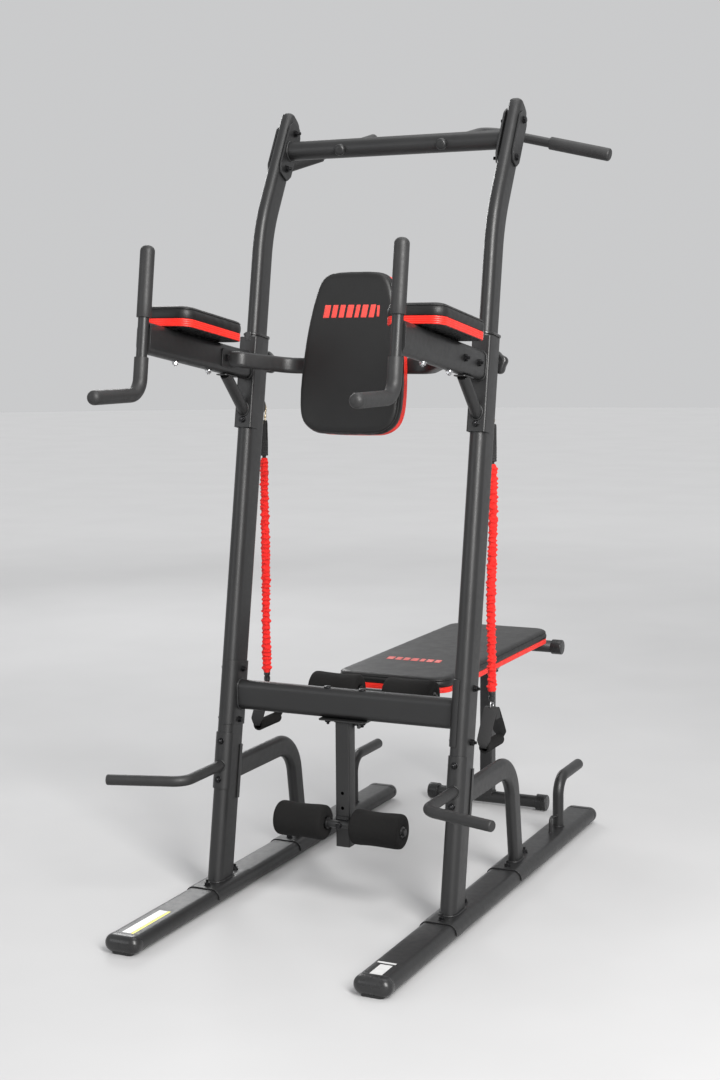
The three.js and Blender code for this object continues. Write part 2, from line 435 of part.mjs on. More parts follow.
// ---------------------------------------------------------------- bench
const PY = CY + 51.3, PZ = 493.7;     // pivot of the bench
const LY = 1208, LZ = 448;            // pivot of the leg
{
  const zb0 = 468.7, zb1 = 518.7;
  const nosePts = [];
  for (let i = 0; i <= 8; i++) { const f = Math.PI / 2 + Math.PI * i / 8; nosePts.push([PY + 25 * Math.cos(f), PZ + 25 * Math.sin(f)]); }
  const side = [...nosePts, [1334, zb0], [1334, zb1]];
  const beam = prism(side, -25, 25, (a, b, h) => [h, a, b]);
  const bore = box(-22.5, 22.5, PY + 10, 1330, zb0 + 2.5, zb1 - 2.5);
  const ry = 1344, rz = 499.7;
  const rear = sub(rodX(38, -182, 182, ry, rz, 14), rodX(33, -186, 186, ry, rz, 6));
  const fy = 333, fz = 533;
  const riser = box(-24, 24, fy - 16, fy + 16, zb1 - 1, fz - 4);
  const axle = rodX(20, -186, 186, fy, fz, 14);
  const col = (x0, x1) => rodX(30, x0, x1, fy, fz, 12);
  const ear = (x0, x1) => prism([[LY - 26, zb0 + 1], [LY + 26, zb0 + 1], [LY + 26, 428], [LY - 14, 428], [LY - 26, 446]], x0, x1, (a, b, h) => [h, a, b]);
  const stop = box(-26, 26, LY + 20 + G, LY + 24, 428, 441);
  // cross straps the pad is screwed to
  const strap = (y) => box(-110, 110, y - 18, y + 18, zb1 - 3, zb1);
  let m = U(sub(beam, bore), riser, ear(20 + G + 0.2, 25), ear(-25, -20 - G - 0.2), stop, strap(560), strap(1150));
  m = U(m, axle, col(-38, -34), col(34, 38));
  m = U(sub(m, rodX(33, -186, 186, ry, rz, 6)), rear);
  m = sub(m, rodX(12.9, -60, 60, PY, PZ, 12), rodX(12.9, -60, 60, LY, LZ, 12), box(-22.5, 22.5, 1100, 1330, zb0 + 2.5, zb1 - 2.5));
  // drain hole keeps the section open
  m = sub(m, rodZ(10, 0, 700, zb0 - 5, zb0 + 5, 12));
  put('bench_beam', m, STEEL);
  pair('bench_roller', roller(fy, fz), RUBBER, 0.95, 0);
  // pad
  const y0 = 437, y1 = 1325, yc = (y0 + y1) / 2, zp = zb1 + G;
  const lv = [[0, 2], [2, 0], [33, 0.4], [41, 5], [44.6, 20]];
  const padRing = (k) => rrect(336 - 2 * k, (y1 - y0) - 2 * k, Math.max(6, 30 - k), 3);
  put('bench_pad', loft(lv.map(([h, k]) => padRing(k).map(([a, b]) => [a, yc + b, zp + h]))), VINYL, 0.55, 0);
  // rear bar caps
  const barCap = (y, z, D, d, x0, x1) => { // closed sleeve over a tube end on the +X side
    const o = loft([[x0, D / 2], [x1 - 4, D / 2], [x1, D / 2 - 4]].map(([x, r]) => circle(2 * r, 14).map(([a, b]) => [x, y + a, z + b])));
    return sub(o, rodX(d + 2 * G, x0 - 5, x1 - 6, y, z, 14));
  };
  pair('bench_bar_cap', barCap(ry, rz, 47, 38, 168, 202), BLACK, 0.45, 0);
  // folding leg with its foot tube
  const lo = U(box(-20, 20, LY - 20, LY + 20, 34, LZ), rodX(40, -20, 20, LY, LZ, 16));
  const li = box(-18, 18, LY - 18, LY + 18, 30, LZ - 6);
  const foot = rodX(38, -180, 180, LY, 25, 14), fi = rodX(33, -190, 190, LY, 25, 6);
  let leg = sub(U(lo, foot), fi);
  leg = sub(leg, li.intersect(box(-18, 18, LY - 18, LY + 18, 43.8, 600)));
  leg = sub(leg, rodX(12.9, -60, 60, LY, LZ, 12), rodY(9, 0, LY + 5, LY + 30, 120, 12));
  put('bench_leg', leg, STEEL);
  pair('bench_foot_cap', barCap(LY, 25, 50, 38, 166, 200), BLACK, 0.45, 0);
  // pivot pins
  const pin = (y, z, x) => U(rodX(12, -x - 2, x + 2, y, z, 12), rodX(20, -x - 5, -x - G, y, z, 12), rodX(20, x + G, x + 5, y, z, 12));
  put('bench_pivot_pin', pin(PY, PZ, 30), ZINC);
  put('bench_leg_pin', pin(LY, LZ, 25), ZINC);
}
// ---------------------------------------------------------------- resistance bands
{
  const by = 351;
  const band = loft([[548, 4], [556, 9], [560, 11], [1150, 11], [1158, 9], [1170, 4], [1226, 4]].map(([z, r]) => circle(2 * r, 8).map(([a, b]) => [XU + a, by + b, z])));
  pair('band', band, RED, 0.8, 0);
  const h0 = by - 58, h1 = by + 58;
  const grip = loft([[h0, 15], [h1, 15]].map(([y, r]) => circle(2 * r, 12).map(([a, b]) => [XU + a, y, 420 + b])));
  pair('band_handle', sub(grip, rodY(20, XU, h0 - 5, h1 + 5, 420, 8)), RUBBER, 0.8, 0);
}

// ---------------------------------------------------------------- output
for (const name of both) { const r = parts['right_' + name]; parts['left_' + name] = { ...r, m: mirror(r.m) }; }
const bb = new THREE.Box3();
for (const k in parts) { const g = parts[k].m.getMesh(); for (let i = 0; i < g.vertProperties.length; i += g.numProp) bb.expandByPoint(new THREE.Vector3(g.vertProperties[i], g.vertProperties[i + 1], g.vertProperties[i + 2])); }
const YC = (bb.min.y + bb.max.y) / 2;
const group = new THREE.Group();
for (const k of Object.keys(parts).sort()) {
  const { m, color, rough, metal } = parts[k];
  const g = m.getMesh(), np = g.numProp, n = g.vertProperties.length / np;
  const pos = new Float32Array(n * 3);
  for (let i = 0; i < n; i++) { pos[3 * i] = g.vertProperties[i * np]; pos[3 * i + 1] = g.vertProperties[i * np + 1] - YC; pos[3 * i + 2] = g.vertProperties[i * np + 2] - Math.max(-1, bb.min.z); }
  const geo = new THREE.BufferGeometry();
  geo.setAttribute('position', new THREE.BufferAttribute(pos, 3));
  geo.setIndex(new THREE.BufferAttribute(new Uint32Array(g.triVerts), 1));
  geo.computeVertexNormals();
  const mesh = new THREE.Mesh(geo, new THREE.MeshStandardMaterial({ color, roughness: rough, metalness: metal }));
  mesh.name = k;
  group.add(mesh);
}
export default group;
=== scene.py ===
import math
import random
import bpy
import bmesh
from mathutils import Vector, Matrix, noise


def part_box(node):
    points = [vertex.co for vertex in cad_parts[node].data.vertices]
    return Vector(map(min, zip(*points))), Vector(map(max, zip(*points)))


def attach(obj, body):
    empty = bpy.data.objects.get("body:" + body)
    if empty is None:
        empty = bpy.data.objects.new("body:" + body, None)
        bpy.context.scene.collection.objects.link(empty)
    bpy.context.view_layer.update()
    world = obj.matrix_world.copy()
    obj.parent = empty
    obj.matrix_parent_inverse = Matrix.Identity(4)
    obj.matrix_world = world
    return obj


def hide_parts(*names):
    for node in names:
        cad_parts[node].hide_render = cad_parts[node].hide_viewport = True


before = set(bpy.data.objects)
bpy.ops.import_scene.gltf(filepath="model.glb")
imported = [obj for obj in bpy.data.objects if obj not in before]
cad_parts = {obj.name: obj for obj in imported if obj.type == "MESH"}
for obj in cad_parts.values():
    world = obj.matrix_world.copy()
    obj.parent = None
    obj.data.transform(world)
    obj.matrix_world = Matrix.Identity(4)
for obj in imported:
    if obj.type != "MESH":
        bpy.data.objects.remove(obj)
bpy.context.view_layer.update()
random.seed(7)

# ------------------------------------------------------------------ frame of the part (mm, then metres)
TL = 0.1715
L1 = math.hypot(1, TL)
SU, CU = TL / L1, 1 / L1
PY = 70 + TL * 488 + 51.3
_lo, _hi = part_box("bench_pivot_pin")
YC = PY - 500 * (_lo.y + _hi.y)
XU = 335.0
G = 0.3
CY, CZ = 70 + TL * 488, 538.0
PZ = 493.7
LY, LZ = 1208.0, 448.0
BT, BB = 47.0, 5.0
BZ = 26.0
AA = math.radians(8.5)
CA, SA = math.cos(AA), math.sin(AA)
BAR = (488.0, 1999.0)
BE = math.atan(0.556)
SB, CB = math.sin(BE), math.cos(BE)


def W(p):
    return (p[0] / 1000.0, (p[1] - YC) / 1000.0, p[2] / 1000.0)


def yU(z): return 70 + TL * (z - 50)
def sOf(z): return (z - 50) / CU
def UF(x, v, s): return (x, 70 + v * CU + s * SU, 50 - v * SU + s * CU)
def AF(x, t, b): return (x, 232 - t * CA + b * SA, 1419 + t * SA + b * CA)
def TF(x, v, s): return (x, BAR[0] + v * CB + s * SB, BAR[1] - v * SB + s * CB)


# ------------------------------------------------------------------ camera and light
def camera():
    cam = bpy.data.cameras.new("camera")
    ob = bpy.data.objects.new("camera", cam)
    bpy.context.scene.collection.objects.link(ob)
    yaw, pit, rol = math.radians(24.9985), math.radians(6.8543), math.radians(-0.3905)
    fw = Vector((-math.sin(yaw) * math.cos(pit), math.cos(yaw) * math.cos(pit), -math.sin(pit)))
    r0 = Vector((math.cos(yaw), math.sin(yaw), 0))
    u0 = r0.cross(fw)
    right = r0 * math.cos(rol) + u0 * math.sin(rol)
    up = u0 * math.cos(rol) - r0 * math.sin(rol)
    m = Matrix(((right.x, up.x, -fw.x), (right.y, up.y, -fw.y), (right.z, up.z, -fw.z))).to_4x4()
    m.translation = W((1904.80, -3831.28, 1499.20))
    ob.matrix_world = m
    cam.sensor_fit = "VERTICAL"
    cam.sensor_height = 36.0
    cam.lens = 57.3715
    cam.clip_end = 100
    bpy.context.scene.camera = ob


def area(name, loc, to, size, power, col=(1, 1, 1), sy=None):
    l = bpy.data.lights.new(name, "AREA")
    l.shape = "RECTANGLE"
    l.size = size
    l.size_y = sy or size
    l.energy = power
    l.color = col
    o = bpy.data.objects.new(name, l)
    bpy.context.scene.collection.objects.link(o)
    o.location = loc
    o.rotation_euler = (Vector(to) - Vector(loc)).to_track_quat("-Z", "Y").to_euler()
    return o


camera()

# ------------------------------------------------------------------ materials
MATS = {}


def nodes_of(name):
    m = bpy.data.materials.new(name)
    m.use_nodes = True
    nt = m.node_tree
    nt.nodes.clear()
    out = nt.nodes.new("ShaderNodeOutputMaterial")
    b = nt.nodes.new("ShaderNodeBsdfPrincipled")
    nt.links.new(b.outputs[0], out.inputs[0])
    tc = nt.nodes.new("ShaderNodeTexCoord")
    MATS[name] = m
    return m, nt, b, tc.outputs["Object"]


def tex_noise(nt, co, scale, detail=2.0, rough=0.5, stretch=None):
    if stretch:
        mp = nt.nodes.new("ShaderNodeMapping")
        mp.inputs["Scale"].default_value = stretch
        nt.links.new(co, mp.inputs[0])
        co = mp.outputs[0]
    n = nt.nodes.new("ShaderNodeTexNoise")
    n.inputs["Scale"].default_value = scale
    n.inputs["Detail"].default_value = detail
    n.inputs["Roughness"].default_value = rough
    nt.links.new(co, n.inputs["Vector"])
    return n.outputs["Fac"]


def tex_voro(nt, co, scale, feature="F1"):
    n = nt.nodes.new("ShaderNodeTexVoronoi")
    n.feature = feature
    n.inputs["Scale"].default_value = scale
    nt.links.new(co, n.inputs["Vector"])
    return n.outputs["Distance"]


def ramp(nt, fac, a, b, lo=0.3, hi=0.7):
    r = nt.nodes.new("ShaderNodeValToRGB")
    r.color_ramp.elements[0].position = lo
    r.color_ramp.elements[1].position = hi
    r.color_ramp.elements[0].color = (*a, 1)
    r.color_ramp.elements[1].color = (*b, 1)
    nt.links.new(fac, r.inputs[0])
    return r.outputs[0]


def rng(nt, fac, a, b, lo=0.3, hi=0.7):
    r = nt.nodes.new("ShaderNodeMapRange")
    r.inputs["From Min"].default_value = lo
    r.inputs["From Max"].default_value = hi
    r.inputs["To Min"].default_value = a
    r.inputs["To Max"].default_value = b
    nt.links.new(fac, r.inputs["Value"])
    return r.outputs[0]


def bump(nt, b, h, strength, dist, prev=None):
    n = nt.nodes.new("ShaderNodeBump")
    n.inputs["Strength"].default_value = strength
    n.inputs["Distance"].default_value = dist
    nt.links.new(h, n.inputs["Height"])
    if prev is not None:
        nt.links.new(prev, n.inputs["Normal"])
    nt.links.new(n.outputs[0], b.inputs["Normal"])
    return n.outputs[0]


def build_materials():
    # powder coated steel
    m, nt, b, co = nodes_of("powder_coat")
    big = tex_noise(nt, co, 5, 3)
    fine = tex_noise(nt, co, 1150, 2, 0.6)
    nt.links.new(ramp(nt, big, (0.0098, 0.0099, 0.0102), (0.0135, 0.0136, 0.0140)), b.inputs["Base Color"])
    nt.links.new(rng(nt, tex_noise(nt, co, 60, 4), 0.37, 0.45), b.inputs["Roughness"])
    b.inputs["Metallic"].default_value = 0.08
    b.inputs["Specular IOR Level"].default_value = 0.6
    p = bump(nt, b, fine, 0.34, 0.00022)
    bump(nt, b, tex_noise(nt, co, 260, 1), 0.12, 0.0003, p)
    # smoother paint on the roller axle and small parts
    m, nt, b, co = nodes_of("black_oxide")
    nt.links.new(ramp(nt, tex_noise(nt, co, 300, 3), (0.012, 0.012, 0.013), (0.05, 0.05, 0.052), 0.35, 0.75), b.inputs["Base Color"])
    b.inputs["Metallic"].default_value = 0.85
    nt.links.new(rng(nt, tex_noise(nt, co, 180, 3), 0.25, 0.42), b.inputs["Roughness"])
    bump(nt, b, tex_noise(nt, co, 700, 2), 0.15, 0.0002)
    m, nt, b, co = nodes_of("zinc")
    nt.links.new(ramp(nt, tex_noise(nt, co, 220, 4), (0.36, 0.36, 0.37), (0.62, 0.62, 0.63)), b.inputs["Base Color"])
    b.inputs["Metallic"].default_value = 1.0
    nt.links.new(rng(nt, tex_noise(nt, co, 400, 3), 0.2, 0.38), b.inputs["Roughness"])
    bump(nt, b, tex_noise(nt, co, 900, 2), 0.1, 0.0002)
    m, nt, b, co = nodes_of("clip_steel")
    nt.links.new(ramp(nt, tex_noise(nt, co, 260, 4), (0.42, 0.34, 0.22), (0.72, 0.62, 0.45)), b.inputs["Base Color"])
    b.inputs["Metallic"].default_value = 1.0
    nt.links.new(rng(nt, tex_noise(nt, co, 400, 3), 0.18, 0.35), b.inputs["Roughness"])
    # vinyl covers
    m, nt, b, co = nodes_of("vinyl")
    nt.links.new(ramp(nt, tex_noise(nt, co, 9, 4), (0.0058, 0.0058, 0.0058), (0.0078, 0.0078, 0.0078)), b.inputs["Base Color"])
    nt.links.new(rng(nt, tex_noise(nt, co, 35, 4), 0.42, 0.48), b.inputs["Roughness"])
    b.inputs["Specular IOR Level"].default_value = 0.42
    p = bump(nt, b, tex_voro(nt, co, 620), 0.30, 0.00045)
    p = bump(nt, b, tex_noise(nt, co, 1500, 2), 0.18, 0.0002, p)
    bump(nt, b, tex_noise(nt, co, 26, 3), 0.03, 0.002, p)
    # red side band
    m, nt, b, co = nodes_of("red_band")
    nt.links.new(ramp(nt, tex_noise(nt, co, 40, 3), (0.74, 0.018, 0.010), (0.86, 0.028, 0.016)), b.inputs["Base Color"])
    nt.links.new(rng(nt, tex_noise(nt, co, 90, 3), 0.38, 0.5), b.inputs["Roughness"])
    bump(nt, b, tex_voro(nt, co, 900), 0.15, 0.0003)
    # red embroidery thread
    m, nt, b, co = nodes_of("red_thread")
    w = nt.nodes.new("ShaderNodeTexWave")
    w.inputs["Scale"].default_value = 260
    w.inputs["Distortion"].default_value = 1.2
    nt.links.new(co, w.inputs["Vector"])
    nt.links.new(ramp(nt, w.outputs["Fac"], (0.52, 0.015, 0.010), (0.80, 0.05, 0.03), 0.1, 0.8), b.inputs["Base Color"])
    b.inputs["Roughness"].default_value = 0.6
    b.inputs["Sheen Weight"].default_value = 0.3
    bump(nt, b, w.outputs["Fac"], 0.6, 0.0005)
    # foam
    m, nt, b, co = nodes_of("foam")
    cell = tex_voro(nt, co, 420)
    n2 = tex_noise(nt, co, 700, 4, 0.7)
    nt.links.new(ramp(nt, n2, (0.003, 0.003, 0.003), (0.0125, 0.012, 0.0118), 0.32, 0.68), b.inputs["Base Color"])
    b.inputs["Roughness"].default_value = 0.93
    b.inputs["Specular IOR Level"].default_value = 0.25
    p = bump(nt, b, n2, 0.75, 0.0012)
    p = bump(nt, b, cell, 0.35, 0.0008, p)
    bump(nt, b, tex_noise(nt, co, 40, 2), 0.2, 0.003, p)
    # rubber grips
    m, nt, b, co = nodes_of("grip_rubber")
    nt.links.new(ramp(nt, tex_noise(nt, co, 30, 4), (0.0145, 0.0145, 0.0148), (0.0195, 0.0195, 0.0198)), b.inputs["Base Color"])
    nt.links.new(rng(nt, tex_noise(nt, co, 120, 3), 0.46, 0.56), b.inputs["Roughness"])
    b.inputs["Specular IOR Level"].default_value = 0.5
    bump(nt, b, tex_noise(nt, co, 1400, 2), 0.3, 0.0003)
    # moulded plastic
    m, nt, b, co = nodes_of("plastic")
    nt.links.new(ramp(nt, tex_noise(nt, co, 20, 3), (0.012, 0.012, 0.0125), (0.019, 0.019, 0.0195)), b.inputs["Base Color"])
    nt.links.new(rng(nt, tex_noise(nt, co, 70, 4), 0.24, 0.36), b.inputs["Roughness"])
    bump(nt, b, tex_noise(nt, co, 900, 2), 0.12, 0.0002)
    # red sleeve
    m, nt, b, co = nodes_of("red_sleeve")
    wv = nt.nodes.new("ShaderNodeTexVoronoi")
    wv.inputs["Scale"].default_value = 1300
    nt.links.new(co, wv.inputs["Vector"])
    nt.links.new(ramp(nt, tex_noise(nt, co, 150, 4), (0.60, 0.010, 0.008), (0.84, 0.026, 0.020)), b.inputs["Base Color"])
    b.inputs["Roughness"].default_value = 0.82
    b.inputs["Specular IOR Level"].default_value = 0.25
    b.inputs["Sheen Weight"].default_value = 0.08
    p = bump(nt, b, wv.outputs["Distance"], 0.35, 0.0003)
    bump(nt, b, tex_noise(nt, co, 220, 3), 0.5, 0.0012, p)
    # webbing
    m, nt, b, co = nodes_of("webbing")
    w = nt.nodes.new("ShaderNodeTexWave")
    w.bands_direction = "Z"
    w.inputs["Scale"].default_value = 190
    w.inputs["Distortion"].default_value = 0.6
    nt.links.new(co, w.inputs["Vector"])
    nt.links.new(ramp(nt, w.outputs["Fac"], (0.009, 0.009, 0.009), (0.026, 0.026, 0.027), 0.2, 0.9), b.inputs["Base Color"])
    b.inputs["Roughness"].default_value = 0.75
    p = bump(nt, b, w.outputs["Fac"], 0.5, 0.0006)
    bump(nt, b, tex_noise(nt, co, 900, 2), 0.3, 0.0003, p)
    # thread on the covers
    m, nt, b, co = nodes_of("black_thread")
    nt.links.new(ramp(nt, tex_noise(nt, co, 900, 2), (0.03, 0.03, 0.031), (0.07, 0.07, 0.072)), b.inputs["Base Color"])
    b.inputs["Roughness"].default_value = 0.6
    bump(nt, b, tex_noise(nt, co, 2500, 2), 0.4, 0.0002)
    # label stock
    m, nt, b, co = nodes_of("label")
    nt.links.new(ramp(nt, tex_noise(nt, co, 60, 2), (0.56, 0.56, 0.555), (0.62, 0.62, 0.615)), b.inputs["Base Color"])
    b.inputs["Roughness"].default_value = 0.35
    m, nt, b, co = nodes_of("label_yellow")
    nt.links.new(ramp(nt, tex_noise(nt, co, 60, 2), (0.66, 0.60, 0.004), (0.72, 0.66, 0.008)), b.inputs["Base Color"])
    b.inputs["Roughness"].default_value = 0.35
    # stage
    m, nt, b, co = nodes_of("stage")
    nt.links.new(ramp(nt, tex_noise(nt, co, 1.5, 3), (0.45, 0.45, 0.453), (0.48, 0.48, 0.483)), b.inputs["Base Color"])
    b.inputs["Roughness"].default_value = 0.7
    ln_ = nt.nodes.new("ShaderNodeVectorMath")
    ln_.operation = "LENGTH"
    nt.links.new(co, ln_.inputs[0])
    mr = nt.nodes.new("ShaderNodeMapRange")
    for k, v in (("From Min", 2.0), ("From Max", 9.0), ("To Min", 0.03), ("To Max", 0.31)):
        mr.inputs[k].default_value = v
    mr.interpolation_type = "SMOOTHSTEP"
    nt.links.new(ln_.outputs["Value"], mr.inputs["Value"])
    b.inputs["Emission Color"].default_value = (1, 1, 1, 1)
    nt.links.new(mr.outputs["Result"], b.inputs["Emission Strength"])


build_materials()


# ------------------------------------------------------------------ geometry kit
class Geo:
    def __init__(self):
        self.v, self.f = [], []

    def add(self, v, f):
        n = len(self.v)
        self.v += [tuple(p) for p in v]
        self.f += [tuple(i + n for i in q) for q in f]
        return self

    def join(self, *others):
        for o in others:
            self.add(o.v, o.f)
        return self

    def mirrored(self):
        g = Geo()
        g.v = [(-x, y, z) for x, y, z in self.v]
        g.f = [tuple(reversed(q)) for q in self.f]
        return g


def va(a, b, k=1.0): return (a[0] + k * b[0], a[1] + k * b[1], a[2] + k * b[2])
def vd(a, b): return (a[0] - b[0], a[1] - b[1], a[2] - b[2])
def dot(a, b): return a[0] * b[0] + a[1] * b[1] + a[2] * b[2]
def crs(a, b): return (a[1] * b[2] - a[2] * b[1], a[2] * b[0] - a[0] * b[2], a[0] * b[1] - a[1] * b[0])
def sc(a, k): return (a[0] * k, a[1] * k, a[2] * k)
def ln(a): return math.sqrt(dot(a, a))
def uni(a): return sc(a, 1 / (ln(a) or 1))


def loft(rings, wrap=False, caps=True):
    n = len(rings[0])
    g = Geo()
    v = [p for r in rings for p in r]
    f = []
    m = len(rings)
    for k in range(m if wrap else m - 1):
        a0, b0 = k * n, ((k + 1) % m) * n
        for i in range(n):
            j = (i + 1) % n
            f.append((a0 + i, a0 + j, b0 + j, b0 + i))
    if caps and not wrap:
        f.append(tuple(reversed(range(n))))
        f.append(tuple(range((m - 1) * n, m * n)))
    return g.add(v, f)


def prism(outline, lo, hi, f):
    return loft([[f(a, b, lo) for a, b in outline], [f(a, b, hi) for a, b in outline]])


def tube_prism(outer, inner, lo, hi, f):
    return loft([[f(a, b, lo) for a, b in outer], [f(a, b, hi) for a, b in outer],
                 [f(a, b, hi) for a, b in inner], [f(a, b, lo) for a, b in inner]], wrap=True)


def obround(w, h, seg=18):
    o = []
    r, k = min(w, h) / 2, abs(h - w) / 2
    for s in range(2):
        for i in range(seg + 1):
            t = math.pi * (i / seg) + s * math.pi
            if h >= w:
                o.append((r * math.cos(t), r * math.sin(t) + (-k if s else k)))
            else:
                o.append((r * math.sin(t) + (-k if s else k), -r * math.cos(t)))
    return o


def circle(d, n=40):
    return [(d / 2 * math.cos(2 * math.pi * (i + .5) / n), d / 2 * math.sin(2 * math.pi * (i + .5) / n)) for i in range(n)]


def rrect(w, h, r, seg=8):
    o = []
    for sx, sy, t0 in ((1, 1, 0), (-1, 1, 90), (-1, -1, 180), (1, -1, 270)):
        for i in range(seg + 1):
            t = math.radians(t0 + 90 * i / seg)
            o.append((sx * (w / 2 - r) + r * math.cos(t), sy * (h / 2 - r) + r * math.sin(t)))
    return o


def hexa(af):
    return [(af / 2 / math.cos(math.pi / 6) * math.cos(math.pi / 3 * i), af / 2 / math.cos(math.pi / 6) * math.sin(math.pi / 3 * i)) for i in range(6)]


def bent(pts, radii, seg=14):
    out = [(pts[0], uni(vd(pts[1], pts[0])), 1.0)]
    for i in range(1, len(pts) - 1):
        d1, d2 = uni(vd(pts[i], pts[i - 1])), uni(vd(pts[i + 1], pts[i]))
        th = math.acos(max(-1, min(1, dot(d1, d2))))
        R = radii[i - 1]
        a = va(pts[i], d1, -R * math.tan(th / 2))
        nr = uni(crs(crs(d1, d2), d1))
        c = va(a, nr, R)
        for k in range(seg + 1):
            q = th * k / seg
            out.append((va(va(c, nr, -R * math.cos(q)), d1, R * math.sin(q)), uni(va(sc(d1, math.cos(q)), nr, math.sin(q))), 1.0))
    out.append((pts[-1], uni(vd(pts[-1], pts[-2])), 1.0))
    return out


def densify(path, step=25.0):
    out = [path[0]]
    for a, b in zip(path, path[1:]):
        l = ln(vd(b[0], a[0]))
        n = max(1, int(l / step))
        for k in range(1, n):
            t = k / n
            out.append((va(sc(a[0], 1 - t), b[0], t), uni(va(sc(a[1], 1 - t), b[1], t)), a[2] * (1 - t) + b[2] * t))
        out.append(b)
    return out


def sweep(prof, path, n):
    rings = []
    for p, t, s in path:
        u = uni(crs(t, n))
        rings.append([va(va(p, n, a * s), u, b * s) for a, b in prof])
    return loft(rings)


def nose(path, r, R, seg=8, start=False):
    if start:
        q = [(p, sc(t, -1), s) for p, t, s in reversed(path)]
        q = nose(q, r, R, seg)
        return [(p, sc(t, -1), s) for p, t, s in reversed(q)]
    p, t, _ = path[-1]
    base = path[:-1]
    for i in range(seg + 1):
        a = math.pi / 2 * 0.985 * i / seg
        base.append((va(p, t, -r + r * math.sin(a)), t, 1 - (r / R) * (1 - math.cos(a))))
    return base


def shift(path, first, last):
    q = list(path)
    q[0] = (va(q[0][0], q[0][1], -first), q[0][1], q[0][2])
    q[-1] = (va(q[-1][0], q[-1][1], last), q[-1][1], q[-1][2])
    return q


def rod(d, a, b, n=36, chamfer=0.8):
    t = uni(vd(b, a))
    nn = uni(crs(t, (0.13, 0.29, 0.94) if abs(t[2]) < 0.9 else (1, 0, 0)))
    R = d / 2
    path = [(a, t, 1 - chamfer / R), (va(a, t, chamfer), t, 1), (va(b, t, -chamfer), t, 1), (b, t, 1 - chamfer / R)]
    return sweep(circle(d, n), path, nn)


def bead(pts, r, closed=False, seg=8, pitch=3.2):
    """weld bead: a rippled tube along points"""
    ps = [pts[0]]
    tot = list(pts) + ([pts[0]] if closed else [])
    out = []
    for a, b in zip(tot, tot[1:]):
        l = ln(vd(b, a))
        n = max(1, int(round(l / 1.1)))
        for k in range(n):
            out.append(va(sc(a, 1 - k / n), b, k / n))
    if not closed:
        out.append(tot[-1])
    m = len(out)
    rings = []
    prev = None
    s = 0.0
    for i, p in enumerate(out):
        a = out[(i - 1) % m] if (closed or i > 0) else p
        b = out[(i + 1) % m] if (closed or i < m - 1) else p
        t = uni(vd(b, a))
        if prev is None:
            prev = uni(crs(t, (0.31, 0.2, 0.93) if abs(t[2]) < 0.8 else (1, 0.1, 0)))
        prev = uni(va(prev, t, -dot(prev, t)))
        u = crs(t, prev)
        s += ln(vd(p, out[i - 1])) if i else 0
        rr = r * (0.94 + 0.13 * abs(math.sin(math.pi * s / pitch)) + 0.05 * math.sin(s * 0.37))
        if not closed and (i == 0 or i == m - 1):
            rr *= 0.3
        rings.append([va(va(p, prev, rr * math.cos(2 * math.pi * k / seg)), u, rr * math.sin(2 * math.pi * k / seg)) for k in range(seg)])
    return loft(rings, wrap=closed)


def frame_of(axis):
    t = uni(axis)
    a = uni(crs(t, (0, 0, 1) if abs(t[2]) < 0.9 else (0, 1, 0)))
    return t, a, crs(t, a)


def stack(c, axis, spec, n=36, roll=0.0):
    """rings of (distance, radius, sides); sides 6 keeps a hexagon"""
    t, a, b = frame_of(axis)
    rings = []
    for h, r, hx in spec:
        ring = []
        for i in range(n):
            th = 2 * math.pi * i / n + roll
            rr = r
            if hx:
                q = (2 * math.pi * i / n) % (math.pi / 3) - math.pi / 6
                rr = r / math.cos(q)
                rr = min(rr, hx)
            ring.append(va(va(va(c, t, h), a, rr * math.cos(th)), b, rr * math.sin(th)))
        rings.append(ring)
    return loft(rings)


def hexhead(c, axis, af=15.0, h=6.5, wash=20.0, wt=1.6, stub=0.0, sd=8.0, roll=0.2):
    """washer on the surface at c, hexagon on it, and a bit of thread"""
    g = stack(c, axis, [(-0.6, wash / 2, 0), (wt - 0.3, wash / 2, 0), (wt, wash / 2 - 0.4, 0)], 36, roll)
    R = af / 2
    g.join(stack(c, axis, [(wt - 0.2, R, R * 1.155), (wt + h * 0.72, R, R * 1.155), (wt + h * 0.9, R, R * 1.06), (wt + h, R * 0.86, R * 0.93)], 48, roll))
    if stub > 0:
        sp = []
        k = 0.0
        while k < stub:
            sp += [(wt + h - 0.5 + k, sd / 2, 0), (wt + h + k, sd / 2 - 0.55, 0)]
            k += 1.1
        sp += [(wt + h + stub, sd / 2 - 0.2, 0), (wt + h + stub + 0.6, sd / 2 - 1.2, 0)]
        g.join(stack(c, axis, sp, 20, roll))
    return g


def dome_head(c, axis, d=18.0, h=5.0):
    sp = [(-0.5, d / 2, 0)]
    for i in range(8):
        q = math.pi / 2 * i / 7
        sp.append((0.6 + (h - 0.6) * math.sin(q), max(0.4, d / 2 * math.cos(q) ** 0.8), 0))
    return stack(c, axis, sp, 32)


ALL = []


